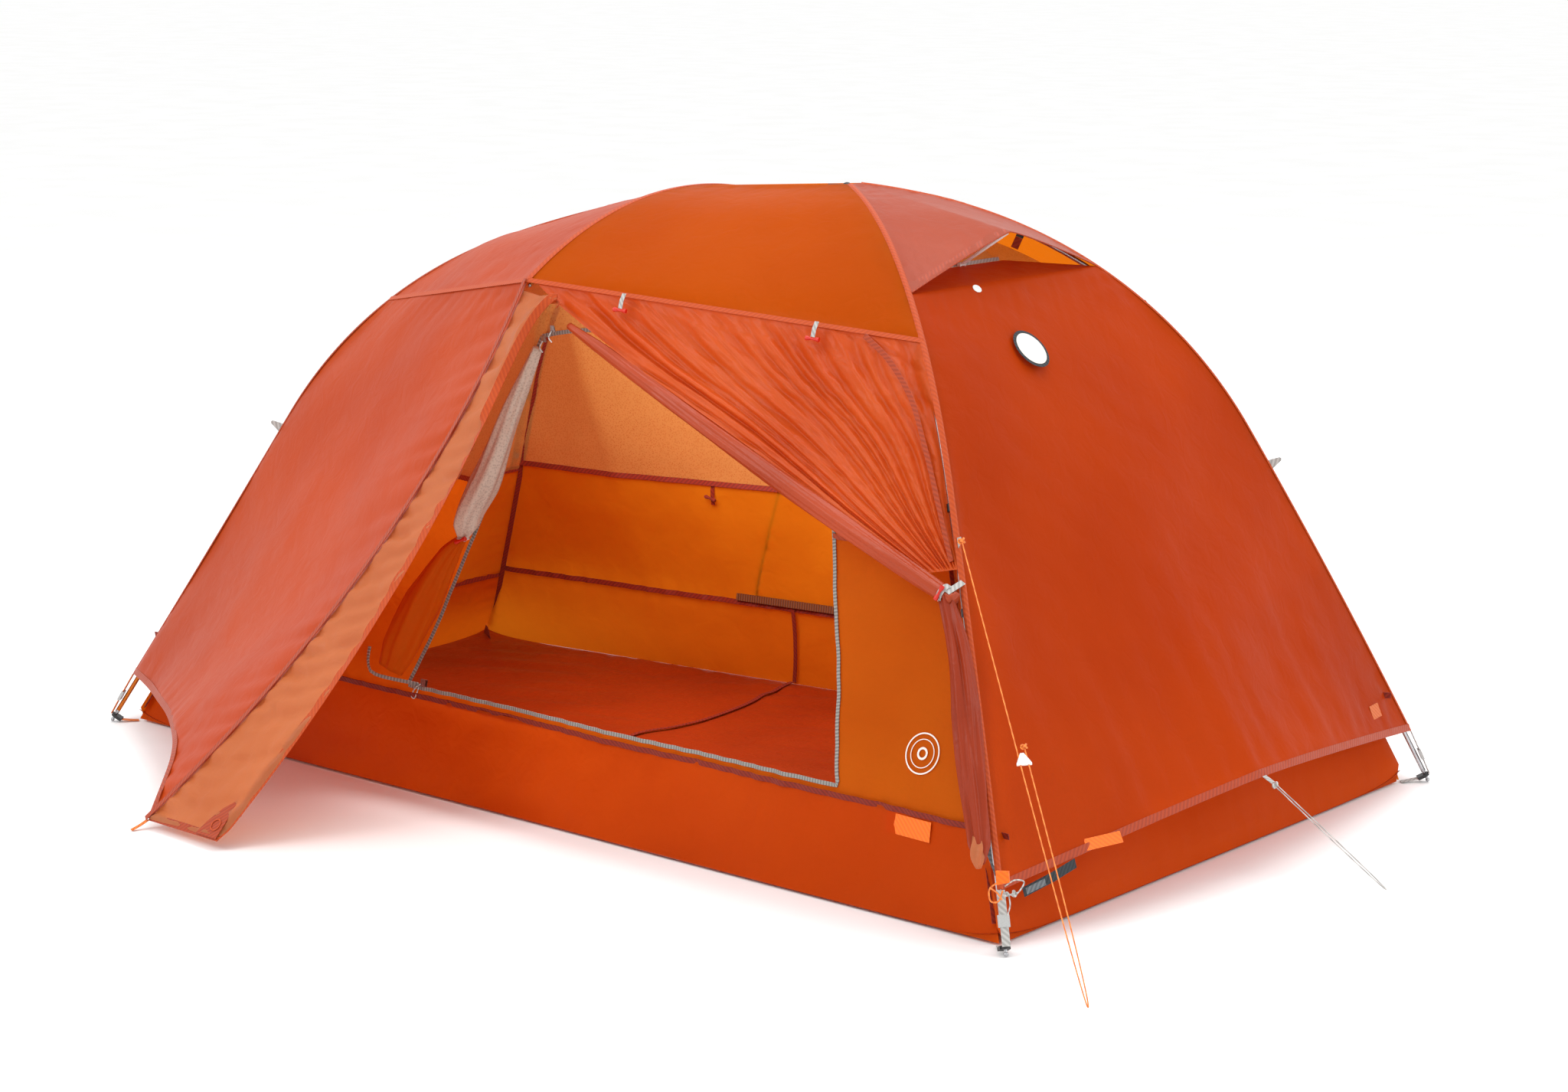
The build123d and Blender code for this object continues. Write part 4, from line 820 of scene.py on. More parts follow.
for end, which in ((HEAD, "head"), (FOOT, "foot")):
    grid = end_surface(end)
    s, t = across(grid)
    belly = -0.014 * np.sin(np.pi * np.clip(t / t[-1:], 0, 1)) * np.sin(np.pi * s / s[:, -1:])
    drawn = 0.0016 * sharpen(waves(s - 0.5 * s[:, -1:], 31 + end, 0.05, 0.16)) * smooth((t / t[-1:] - 0.45) / 0.5)
    grid = raise_by(grid, belly + drawn + tension(grid, 41 + end, 0.0018, 0.004), 0.03)
    if end == HEAD:
        lip_top = straight(WINDOW_FOOT + np.array([0, -0.145, 0]), WINDOW_FOOT + np.array([0, 0.145, 0]), grid.shape[1])
        lip = mix(lip_top[None], grid[:1], np.linspace(0, 1, 12)[:-1, None, None])
        grid = np.concatenate([lip, grid])
    # head end: the flysheet copy with painted shade; foot end: the copy with a painted reflection
    cloth_piece(f"{which}_end_cloth", grid, "fly_painted_shade" if end == HEAD else "fly_painted_reflection",
                [f"{which}_fly_panel"])
    hem = grid[-1]
    inward = unit(grid[-4] - grid[-1])
    face = unit(np.cross(np.gradient(hem, axis=0), inward))
    face = face if face[len(face) // 2] @ np.array([end, 0, 0.2]) > 0 else -face
    ribbon(f"{which}_end_hem", hem + inward * 0.006 + face * 0.0009, face, 0.014, 0.0012, "hem")

RIM_SHARE = share_at(HEAD, RIM_HEIGHT)
rim_chord = mix(beside_leg(HEAD, FRONT, RIM_SHARE, FLY), beside_leg(HEAD, BACK, RIM_SHARE, FLY), 0.5)
RIM_APEX = rim_chord + UP * 0.084 + np.array([0.010, 0, 0])


def hood_surface(rows=50, columns=81):
    shares = np.linspace(HUB_SHARE, RIM_SHARE, rows)
    left, right = beside_leg(HEAD, FRONT, shares, FLY), beside_leg(HEAD, BACK, shares, FLY)
    ridge = straight(left[0] * np.array([1, 0, 1]) + UP * 0.0003, RIM_APEX, rows)
    u = np.linspace(-1, 1, columns)[None, :, None]
    hump = (1 - np.abs(u) ** 1.12)
    chord = mix(left[:, None], right[:, None], (u + 1) / 2)
    return chord + (ridge - mix(left, right, 0.5))[:, None] * hump


grid = hood_surface()
s, t = across(grid)
grid = raise_by(grid, tension(grid, 61, 0.0010, 0.002), 0.02)
cloth_piece("vent_hood_cloth", grid, "fly_hood_painted_shade", ["vent_hood"])
rim, behind = grid[-1], unit(grid[-4] - grid[-1])
rim_face = unit(np.cross(np.gradient(rim, axis=0), behind))
rim_face = rim_face if rim_face[40, 2] > 0 else -rim_face
ribbon("vent_hood_rim", rim + behind * 0.009 - rim_face * 0.0012, rim_face, 0.020, 0.0022, "hem",
       step=0.006)

window_low = straight(WINDOW_FOOT + np.array([-0.002, -0.13, 0.001]), WINDOW_FOOT + np.array([-0.002, 0.13, 0.001]), 30)
window_high = straight(np.array([0.504, -0.0433, 1.066]), np.array([0.504, 0.0433, 1.066]), 30)
grid = coons(window_high, window_low, straight(window_high[0], window_low[0], 9),
             straight(window_high[-1], window_low[-1], 9), 0.006)
grid = raise_by(grid, 0.001 * creases(*across(grid), 71, 0.06), 0.01)
cloth_piece("vent_window_netting", grid, "net", ["vent_mesh"])
ribbon("vent_window_edge", window_low + np.array([0.001, 0, 0.003]), (1, 0, 0.3), 0.007, 0.0012, "grey_tape")

# seams over the legs
for end, side in LEGS:
    which = leg_name(end, side)
    first, last = HUB_SHARE, share_at(end, CORNER_HEIGHT)
    shares = np.linspace(first, last, 120)
    path = beside_leg(end, side, shares, FLY + 0.0012)
    ribbon(f"{which}_leg_seam", path, leg_normal(end, side, shares), 0.011, 0.0014, "hem_painted_light" if end > 0 else "hem",
           drop=0.0025)

# ---------------------------------------------------------------- vestibules


def zip_points(side, peg, bow, count=60):
    t = np.linspace(0, 1, count)[:, None]
    return mix(brow_end(side, FLY), peg, t) + np.array([bow, 0, 0]) * 4 * t * (1 - t)


def turned_hem(name, edge, inward, side, where, finish="hem", width=0.014, inset=0.006, lift=0.0009, step=0.012):
    """A hem turned and sewn inside an edge, on the face that looks to the side at point number where."""
    face = unit(np.cross(np.gradient(edge, axis=0), inward))
    face = face if face[where, 1] * side > 0 else -face
    return ribbon(name, edge + inward * inset + face * lift, face, width, 0.0012, finish, step=step)


def vestibule_leg(end, side, low, count=60):
    return leg_edge(end, side, share_at(end, SEAM_HEIGHT[end]), share_at(end, low), FLY, count)


front_zip = zip_points(FRONT, FRONT_PEG, ZIP_BOW)
foot_leg = vestibule_leg(FOOT, FRONT, CORNER_HEIGHT)
HEM_CURVE = [(-0.985, -0.600, 0.106), (-0.859, -0.685, 0.113), (-0.745, -0.762, 0.116), (-0.657, -0.829, 0.113),
             (-0.590, -0.886, 0.108), (-0.545, -0.934, 0.092), (-0.515, -0.980, 0.066), (-0.497, -1.015, 0.040)]
front_hem = rounded(np.vstack([foot_leg[-1:], HEM_CURVE, front_zip[-1:]]))
grid = coons(straight(foot_leg[0], front_zip[0], 30), front_hem, foot_leg, front_zip)
s, t = across(grid)
near_zip = np.exp(-(s[:, -1:] - s) / 0.09)
gather = 0.0040 * sharpen(waves(t + 0.35 * s, 81, 0.045, 0.11)) * near_zip
belly = 0.012 * np.sin(np.pi * s / s[:, -1:]) * np.sin(np.pi * np.clip(t / t[-1:], 0, 1))
grid = raise_by(grid, tension(grid, 83, 0.0016, 0.004) + gather - belly, 0.02)
cloth_piece("front_vestibule_foot_cloth", grid, "fly_painted_reflection", ["front_vestibule_foot"])
turned_hem("front_vestibule_foot_hem", grid[-1], unit(grid[-5] - grid[-1]), FRONT, 10, step=0.008)

# the storm flap: gathered along the zip, hemmed on its free edge
t = np.linspace(0, 1, 60)[:, None]
flap_zip = front_zip.copy()
flap_zip[0] = mix(front_zip[0], front_zip[2], 0.8)
flap_width = 0.050 + (0.205 - 0.050) * t**1.5 + 0.060 * np.exp(-t / 0.05)
flap_edge = flap_zip + np.hstack([flap_width, -0.007 - 0.005 * t - 0.010 * np.exp(-t / 0.10),
                                  0.010 * np.sin(np.pi * t) - 0.010 * np.exp(-t / 0.05)])
flap_foot = straight(flap_zip[-1], flap_edge[-1] + np.array([0.004, -0.014, 0.002]), 20)
flap_edge[-1] = flap_foot[-1]
grid = coons(straight(flap_zip[0], flap_edge[0], 8), flap_foot, flap_zip, flap_edge, 0.007)
s, t = across(grid)
pucker = 0.0050 * sharpen(waves(t, 91, 0.028, 0.085)) * np.exp(-s / 0.055)
pucker = pucker + 0.0026 * sharpen(waves(t + 0.5 * s, 92, 0.05, 0.13))
curl = 0.012 * (s / s[:, -1:]) ** 2 * waves(t, 93, 0.35, 0.8)
grid = raise_by(grid, 0.003 + pucker + curl + 0.0012 * sharpen(creases(s, t, 94, 0.05, 2, 1.2)), 0.008,
                np.array([0.3, 0.0, 0.35]))
cloth_piece("storm_flap_cloth", grid, "flap", ["storm_flap"])
turned_hem("storm_flap_hem", grid[:, -1], unit(grid[:, -4] - grid[:, -1]), FRONT, 20, "hem_painted_light", 0.015, 0.007, 0.0008,
           0.007)
turned_hem("storm_flap_foot_hem", grid[-1], unit(grid[-4] - grid[-1]), FRONT, 3, "hem", 0.015, 0.007, 0.0008, 0.007)
ribbon("front_zip_seam", front_zip + np.array([-0.003, -0.004, 0.003]), (-0.4, -0.85, 0.35), 0.012, 0.0014, "hem")
corner = grid[-1, -1]
to_left, to_top = unit(grid[-1, -14] - corner), unit(grid[-14, -1] - corner)
flap_face = unit(np.cross(to_left, to_top))
flap_face = flap_face if flap_face[1] < 0 else -flap_face
plate("storm_flap_corner_patch", [(0.002, 0.002), (0.062, 0.002), (0.050, 0.030), (0.030, 0.060), (0.002, 0.085)],
      corner + flap_face * 0.004, to_left, to_top - to_left * (to_left @ to_top), 0.0012, "hem")

# the back vestibule is zipped shut and pegged
back_zip = zip_points(BACK, BACK_PEG, 0.0)
for end, which in ((HEAD, "head"), (FOOT, "foot")):
    leg = vestibule_leg(end, BACK, CORNER_HEIGHT)
    t = np.linspace(0, 1, 60)[:, None]
    hem = mix(leg[-1], back_zip[-1], t) + UP * 0.070 * (4 * t * (1 - t)) ** 0.8
    grid = coons(straight(leg[0], back_zip[0], 30), hem, leg, back_zip, 0.013)
    s, t = across(grid)
    hem_folds = 0.003 * sharpen(waves(t, 103 + end, 0.05, 0.12)) * np.exp(-(s[:, -1:] - s) / 0.08)
    grid = raise_by(grid, tension(grid, 101 + end, 0.0016, 0.004) + hem_folds, 0.02)
    cloth_piece(f"back_vestibule_{which}_cloth", grid, "fly_painted_reflection", [f"back_vestibule_{which}"])
    turned_hem(f"back_vestibule_{which}_hem", grid[-1], unit(grid[-5] - grid[-1]), BACK, 10)
ribbon("back_vestibule_flap", back_zip + np.array([0.006, 0.004, 0.003]), (0, 0.85, 0.5), 0.046, 0.0016, "hem_painted_light")
ribbon("back_vestibule_zip", back_zip + np.array([-0.024, 0.0035, 0.003]), (0, 0.85, 0.5), 0.008, 0.0014, "zip")

# the head half of the front vestibule: gathered to the tie, its edge rolled
TIE = beside_leg(HEAD, FRONT, share_at(HEAD, TIE_HEIGHT), FLY) + np.array([-0.006, -0.021, 0])
ROLL_START = brow_end(FRONT, FLY) + np.array([0.045, -0.004, -0.048])
head_leg = vestibule_leg(HEAD, FRONT, TIE_HEIGHT + 0.045)
seam_way = unit(head_leg[0] - brow_end(FRONT, FLY))
gather_top = brow_end(FRONT, FLY) + seam_way * 0.020
t = np.linspace(0, 1, 40)[:, None]
roll_top = mix(ROLL_START, TIE, 0.93 * t) + UP * (0.0085 + 0.004 * np.sin(np.pi * t))
roll_edge = mix(gather_top, roll_top, np.minimum(1, t * 4))
grid = coons(straight(gather_top, head_leg[0], 30), straight(roll_edge[-1], head_leg[-1], 8), roll_edge, head_leg,
             0.0065)
rows, columns = grid.shape[:2]
u, v = np.linspace(0, 1, columns)[None, :], np.linspace(0, 1, rows)[:, None]
rays = sharpen(waves(u + 0.02 * np.sin(9 * v), 111, 0.045, 0.16, 14), 0.55)
depth = 0.0062 * smooth(v / 0.12) * (1 - 0.60 * v) + 0.0010
fine_rays = 0.0014 * sharpen(waves(u, 112, 0.02, 0.05, 12)) * smooth(v / 0.03) * (1 - 0.6 * v)
hung = -0.018 * np.sin(np.pi * u) * np.sin(np.pi * v) ** 0.8
grid = raise_by(grid, rays * depth + fine_rays + hung + 0.0012 * sharpen(creases(*across(grid), 113, 0.06, 3, 1.2)),
                0.012, np.array([0.2, 0.3, 0.5]))
cloth_piece("front_vestibule_head_cloth", grid, "gathered", ["front_vestibule_head"])
stitch = np.array([grid[int(v0 * (rows - 1)), int(u0 * (columns - 1))] for v0, u0 in
                   [(0.02, 0.86), (0.14, 0.90), (0.3, 0.925), (0.48, 0.93), (0.66, 0.92), (0.82, 0.90), (0.97, 0.86)]])
stitch_face = np.array([-0.1, -1, 0.35])
ribbon("gathered_half_hem", rounded(stitch) + unit(stitch_face) * 0.006, stitch_face, 0.010, 0.0012, "hem",
       step=0.006)

BUNDLE_FOOT = beside_leg(HEAD, FRONT, share_at(HEAD, 0.135), FLY) + np.array([-0.012, -0.028, 0])


def roll_shape(s):
    """Radius from the brow's end to the tie."""
    return np.interp(s, [0, 0.08, 0.3, 0.55, 0.75, 0.9, 1], [0.006, 0.010, 0.014, 0.0165, 0.0175, 0.0155, 0.0125])


def roll_folds(s, a):
    twist = 4.2 * s
    lap = 0.16 * np.maximum(0, np.cos(a - 1.2 - twist)) ** 5
    return lap + 0.07 * np.sin(3 * a + 6 * s + 1) + 0.05 * np.sin(5 * a - 9 * s) + 0.03 * np.sin(11 * a + 14 * s)


def bundle_shape(s):
    return np.interp(s, [0, 0.06, 0.2, 0.45, 0.75, 0.93, 1], [0.0125, 0.0135, 0.018, 0.0215, 0.0205, 0.0175, 0.006])


def bundle_folds(s, a):
    deep = 0.22 * np.abs(np.sin(2.5 * a + 1.1 + 0.9 * np.sin(5 * s))) - 0.14
    return deep + 0.09 * np.sin(7 * a + 5 * s) + 0.05 * np.sin(13 * a - 8 * s)


roll_line = straight(mix(ROLL_START, TIE, 0.065), TIE, 40) - UP * 0.006 * np.sin(np.pi * np.linspace(0, 1, 40))[:, None]
tube("rolled_vestibule_edge", roll_line, roll_shape, "rolled", ["tied_bundle"], around=56,
     fold=roll_folds, step=0.006)
fall = rounded([mix(TIE, ROLL_START, 0.02), mix(TIE, BUNDLE_FOOT, 0.25) + np.array([0.004, -0.004, 0]),
                mix(TIE, BUNDLE_FOOT, 0.62) + np.array([0.002, -0.003, 0]), BUNDLE_FOOT])
tube("tied_vestibule_bundle", fall, bundle_shape, "bundle", around=64, fold=bundle_folds, step=0.006,
     up=np.array([1.0, 0, 0]))
tube("bundle_orange_end", straight(fall[-14], fall[-1] - UP * 0.004, 20) + np.array([0.004, -0.012, 0]),
     lambda s: 0.010 * np.sin(np.pi * np.clip(0.12 + 0.8 * s, 0, 1)) + 0.001, "flap", around=32,
     fold=lambda s, a: 0.2 * np.sin(4 * a + 6 * s), step=0.005, up=np.array([1.0, 0, 0]))

# ---------------------------------------------------------------- inner tent: floor and bathtub

corners = {(end, side): corner_point(end, side) for end in (HEAD, FOOT) for side in (FRONT, BACK)}


def floor_point(x, y_share):
    half = mix(FOOT_WIDTH, HEAD_WIDTH, (x + FLOOR_LENGTH / 2) / FLOOR_LENGTH) / 2
    return half * y_share


columns, rows = 170, 96
xs, ys = np.meshgrid(np.linspace(-FLOOR_LENGTH / 2, FLOOR_LENGTH / 2, columns), np.linspace(-1, 1, rows))
edge_near = np.minimum(FLOOR_LENGTH / 2 - np.abs(xs), (1 - np.abs(ys)) * 0.6)
ripple = 0.0022 * sharpen(creases(xs, ys * 0.6, 121, 0.10, 3.0, 0.3)) + 0.003 * creases(xs, ys * 0.6, 122, 0.5)
folds = 0.004 * sharpen(waves(xs + 0.3 * ys, 123, 0.05, 0.12)) * np.exp(-(1 - np.abs(ys)) / 0.15)
corner_lift = 0.020 * np.exp(-((FLOOR_LENGTH / 2 - np.abs(xs)) / 0.05)) * np.exp(-((1 - np.abs(ys)) / 0.09))
zs = 0.0035 + np.maximum(0, ripple + folds + 0.002) * smooth(edge_near / 0.03) + corner_lift
grid = np.stack([xs, floor_point(xs, ys), zs], axis=-1)
cloth_piece("floor_cloth_piece", grid, "floor", ["floor"])


def over_floor(points, lift=0.002):
    points = np.asarray(points, float)
    share_y = points[:, 1] / floor_point(points[:, 0], 1.0)
    col = np.clip((points[:, 0] + FLOOR_LENGTH / 2) / FLOOR_LENGTH * (columns - 1), 0, columns - 1).astype(int)
    row = np.clip((share_y + 1) / 2 * (rows - 1), 0, rows - 1).astype(int)
    return np.column_stack([points, zs[row, col] + lift])


# A dark red line across the floor; it rises up the back bathtub wall further down.
dark_line_over_floor = [(-0.262, -0.56, 0), (-0.246, -0.30, 0), (-0.225, -0.026, 0), (-0.209, 0.154, 0), (-0.222, 0.315, 0),
                   (-0.250, 0.440, 0), (-0.268, 0.560, 0)]
ribbon("floor_dark_line", over_floor(rounded(dark_line_over_floor, 90)[:, :2], 0.004), UP, 0.010, 0.0014, "seam")


class Wall:
    """A long wall: flat up to the sill line, and drawn from there to the legs and the roof seam."""

    def __init__(self, side):
        self.side = side
        top = []
        for end in (FOOT, HEAD):
            rising = leg_edge(end, side, share_at(end, SILL_LINE + 0.004), share_at(end, SEAM_HEIGHT[end]), INNER, 30)
            seam = straight(rising[-1], brow_end(side, INNER), 8)[1:]
            outline = np.vstack([rising, seam])
            top.append(outline if end < 0 else outline[::-1][1:])
        self.top = np.vstack(top)
        order = np.argsort(self.top[:, 0])
        self.sorted = self.top[order]
        ends = [beside_leg(end, side, share_at(end, SILL_LINE), INNER) for end in (FOOT, HEAD)]
        self.sill_ends = ends

    def sill(self, x):
        a, b = self.sill_ends
        return mix(a[1], b[1], (x - a[0]) / (b[0] - a[0]))

    def top_at(self, x):
        z = np.interp(x, self.sorted[:, 0], self.sorted[:, 2])
        y = np.interp(x, self.sorted[:, 0], self.sorted[:, 1])
        return y, np.maximum(z, SILL_LINE + 0.02)

    def y(self, x, z):
        x, z = np.asarray(x, float), np.asarray(z, float)
        sill = self.sill(x)
        floor_y = self.side * (mix(FOOT_WIDTH, HEAD_WIDTH, (x + FLOOR_LENGTH / 2) / FLOOR_LENGTH) / 2 - 0.001)
        top_y, top_z = self.top_at(x)
        low = mix(floor_y, sill, np.clip(z / SILL_LINE, 0, 1))
        high = mix(sill, top_y, (z - SILL_LINE) / (top_z - SILL_LINE))
        return np.where(z <= SILL_LINE, low, high) + self.side * 0.002


walls = {side: Wall(side) for side in (FRONT, BACK)}
END_SAG = {HEAD: 0.048, FOOT: 0.016}


def end_wall(end, low_z, high_z, rows, columns=90):
    """The short wall between its legs, between two heights."""
    low, high = share_at(end, max(low_z, 0.05)), share_at(end, high_z)
    shares = np.linspace(high, low, rows)
    left, right = beside_leg(end, FRONT, shares, INNER), beside_leg(end, BACK, shares, INNER)
    if low_z < 0.05:
        foot = [corner_point(end, side) + np.array([-end * 0.001, -side * 0.012, 0.004]) for side in (FRONT, BACK)]
        left, right = np.vstack([left, foot[0]]), np.vstack([right, foot[1]])
    u = np.linspace(0, 1, columns)[None, :, None]
    grid = mix(left[:, None], right[:, None], u)
    height = grid[:, :1, 2]
    sag = END_SAG[end] * smooth((height - 0.45) / 0.5) * (1 - np.abs(2 * u[..., 0] - 1) ** 1.4)
    grid[..., 2] -= sag
    grid[..., 0] -= end * (0.5 * sag + 0.012 * np.sin(np.pi * u[..., 0]) * smooth(height / 0.2))
    return grid


for end, which in ((HEAD, "head"), (FOOT, "foot")):
    for low, high, rows, kind, finish, slot, node in (
        (0.0, BATHTUB, 18, "bathtub", "bathtub", "inner_cloth", ""),
        (BATHTUB, BACK_SOLID, 28, "wall", "inner", "inner_cloth", "end_walls"),
        (BACK_SOLID, 0.965, 54, "netting", "net", "inner_mesh", "end_meshes"),
    ):
        grid = end_wall(end, low, high, rows)
        grid = raise_by(grid, tension(grid, 131 + end + rows, 0.0016, 0.003), 0.012)
        nodes = [node] if node and end == HEAD else []
        cloth_piece(f"{which}_end_{kind}", grid, finish + "_lit" if end < 0 and kind == "wall" else finish, nodes)
    for height, tag in ((BATHTUB, "low"), (BACK_SOLID, "high")):
        line = end_wall(end, height, height + 0.01, 3)[1]
        ribbon(f"{which}_end_seam_{tag}", line - np.array([end * 0.0015, 0, 0]), (-end, 0, 0.3), 0.011, 0.0016, "seam")

# ---------------------------------------------------------------- inner tent: long walls and doorways

door_arc = through((0.605, 0, 0.616), (0.345, 0, 0.838), (-0.053, 0, 0.868), 24)[:, [0, 2]]
DOOR = np.vstack([[(-0.341, 0.190), (0.739, 0.190)], door_arc])


def door_side_x(z, low, high):
    """Where the doorway's straight side between two of its outline's points reaches a height."""
    return np.interp(z, [DOOR[low][1], DOOR[high][1]], [DOOR[low][0], DOOR[high][0]])


def clip_outline(side, low, high, count=120):
    """Outline in X and Z of a long wall between two heights."""
    wall = walls[side]
    x = np.linspace(wall.sorted[0, 0], wall.sorted[-1, 0], count * 3)
    y, z = wall.top_at(x)
    inside = z > low + 0.001
    x, z = x[inside], np.minimum(z[inside], high)
    step = max(1, len(x) // count)
    top = np.column_stack([x, z])[::step]
    top = np.vstack([top, [[x[-1], z[-1]]]]) if not np.allclose(top[-1], [x[-1], z[-1]]) else top
    left_x, right_x = x[0], x[-1]
    if low <= SILL_LINE:
        left_x, right_x = (wall_edge_x(side, end, low) for end in (FOOT, HEAD))
    bottom = np.array([[right_x, low], [left_x, low]])
    return np.vstack([top, bottom]) if abs(top[-1, 1] - low) > 0.002 else np.vstack([top, bottom[1:]])


def wall_edge_x(side, end, z):
    return float(beside_leg(end, side, share_at(end, max(z, 0.05)), INNER)[0])


def wall_relief(side, seed):
    def relief(x, z):
        near = np.exp(-np.abs(z - BATHTUB) / 0.05)
        h = 0.0035 * creases(x, z, seed, 0.35) + 0.0020 * sharpen(waves(x, seed + 1, 0.03, 0.08)) * near
        h = h + 0.0011 * sharpen(creases(x, z, seed + 2, 0.07, 2.5, 0.5))
        return side * h - side * 0.008 * np.sin(np.pi * np.clip((z - 0.2) / 0.6, 0, 1))
    return relief


for side, which, solid in ((FRONT, "front", FRONT_SOLID), (BACK, "back", BACK_SOLID)):
    wall = walls[side]
    relief = wall_relief(side, 151 + side)
    # bathtub strip below
    x0, x1 = wall_edge_x(side, FOOT, 0.02), wall_edge_x(side, HEAD, 0.02)
    outline = [(-FLOOR_LENGTH / 2 + 0.002, 0.0045), (FLOOR_LENGTH / 2 - 0.002, 0.0045),
               (wall_edge_x(side, HEAD, BATHTUB), BATHTUB), (wall_edge_x(side, FOOT, BATHTUB), BATHTUB)]
    cut_piece(f"{which}_bathtub_cloth", outline, wall.y, "bathtub" if side < 0 else "bathtub_lit",
              ["bathtub_walls"] if side < 0 else [],
              relief=lambda x, z, r=relief: r(x, z) * smooth(z / 0.03) * smooth((BATHTUB - z) / 0.02))
    solid_outline = clip_outline(side, BATHTUB, solid)
    net_outline = clip_outline(side, solid, 2.0)
    # solid cloth with the part of the doorway below its top edge as an open notch
    right_top_x = float(door_side_x(solid, 1, 2)) if solid < DOOR[2][1] else DOOR[2][0]
    left_top_x = float(door_side_x(solid, 0, -1))
    notch = [(left_top_x, solid), tuple(DOOR[0]), tuple(DOOR[1]), (right_top_x, solid)]
    tops = solid_outline[np.abs(solid_outline[:, 1] - solid) < 1e-6]
    rest = solid_outline[np.abs(solid_outline[:, 1] - solid) >= 1e-6]
    left_side = rest[rest[:, 0] < 0]
    right_side = rest[rest[:, 0] >= 0]
    left_up = left_side[np.argsort(left_side[:, 1])]
    right_down = right_side[np.argsort(-right_side[:, 1])]
    edge_left, edge_right = tops[0], tops[-1]
    ring = np.vstack([left_up, [edge_left], notch, [edge_right], right_down])
    cut_piece(f"{which}_wall_cloth", ring, wall.y, "inner" if side < 0 else "inner_lit",
              [f"{which}_wall"], relief=relief)
    # netting above, its lower edge notched by the doorway
    tops = net_outline[net_outline[:, 1] > solid + 1e-6]
    low_left, low_right = (tops[0][0], solid), (tops[-1][0], solid)
    arc_up = [p for p in DOOR[2:] if p[1] > solid + 0.004]
    ring = np.vstack([[low_left], tops, [low_right], [(right_top_x, solid)], arc_up, [(left_top_x, solid)]])
    cut_piece(f"{which}_wall_netting", ring, wall.y, "net", [f"{which}_mesh"], relief=relief)
    # seams
    for z, tag in ((BATHTUB, "low"), (solid, "high")):
        spans = [(x0 if tag == "low" else edge_left[0], x1 if tag == "low" else edge_right[0])]
        if tag == "high":
            spans = [(edge_left[0], left_top_x), (right_top_x, edge_right[0])]
        for k, (a, b) in enumerate(spans):
            x = np.linspace(a, b, 160)
            y = wall.y(x, z + 0 * x) + relief(x, z + 0 * x)
            line = np.column_stack([x, y - 0.0042, z + 0 * x])
            ribbon(f"{which}_wall_seam_{tag}_{k}", line, (0, -side, 0.2), 0.011, 0.0016,
                   "seam" if side > 0 or tag == "low" else "hem")
    # the zip round the doorway
    loop = np.vstack([DOOR[-1:], DOOR])
    zip_line = Run(np.column_stack([loop, 0 * loop[:, 0]])).at(np.linspace(0, 1, 260))
    y = wall.y(zip_line[:, 0], zip_line[:, 1]) + relief(zip_line[:, 0], zip_line[:, 1])
    zip_path = np.column_stack([zip_line[:, 0], y + side * 0.002, zip_line[:, 1]])
    ribbon(f"{which}_doorway_zip", zip_path, (0, side, 0.12), 0.0075, 0.0018, "zip" if side < 0 else "zip_brown",
           [f"{which}_door_zip"])

# the back door is zipped shut
solid_leaf = np.vstack([DOOR[:2], [(door_side_x(BACK_SOLID, 1, 2), BACK_SOLID)],
                        [(door_side_x(BACK_SOLID, 0, -1), BACK_SOLID)]])
net_leaf = np.vstack([[solid_leaf[3]], [solid_leaf[2]], DOOR[2:]])
back_relief = wall_relief(BACK, 152)
cut_piece("back_door_cloth", solid_leaf, walls[BACK].y, "inner_lit", ["back_door"], relief=back_relief)
cut_piece("back_door_netting", net_leaf, walls[BACK].y, "net", [], relief=back_relief)
x = np.linspace(solid_leaf[3][0], solid_leaf[2][0], 60)
y = walls[BACK].y(x, BACK_SOLID + 0 * x) + back_relief(x, BACK_SOLID + 0 * x)
ribbon("back_door_seam", np.column_stack([x, y - 0.003, BACK_SOLID + 0 * x]), (0, -1, 0.2), 0.011, 0.0016, "seam")

# netting roof between the poles
crossing_in = BROW.at(0.5) - UP * (0.036 + 0.0087)
for end, which in ((HEAD, "head"), (FOOT, "foot")):
    high, rim = share_at(end, SEAM_HEIGHT[end]), share_at(end, RIM_HEIGHT - 0.010)
    for side, where in ((FRONT, "front"), (BACK, "back")):
        brow_in = brow_edge(side, INNER)
        brow_in[0] = crossing_in
        leg = leg_edge(end, side, 0.09, high, INNER)
        grid = coons(straight(brow_in[0], leg[0], 10), straight(brow_in[-1], leg[-1], 10), brow_in, leg, 0.02)
        cloth_piece(f"roof_netting_{which}_{where}", grid, "net",
                    ["inner_roof"] if (end, side) == (HEAD, FRONT) else [])
    shares = np.linspace(0.09, rim, 20)
    left, right = beside_leg(end, FRONT, shares, INNER), beside_leg(end, BACK, shares, INNER)
    u = np.linspace(0, 1, 40)[None, :, None]
    grid = mix(left[:, None], right[:, None], u)
    grid[..., 2] -= END_SAG[end] * np.linspace(0, 1, 20)[:, None] * (1 - np.abs(2 * u[..., 0] - 1) ** 1.4)
    cloth_piece(f"roof_netting_{which}_middle", grid, "net")

# ---------------------------------------------------------------- the front door, rolled beside its opening


def roll_centre(share, radius):
    x = mix(-0.341, -0.053, share) - radius - 0.006 + 0.024 * smooth((share - 0.45) / 0.15)
    z = mix(0.190, 0.868, share)
    y = float(walls[FRONT].y(x, z)) - radius - 0.003
    return np.array([x, y, z])


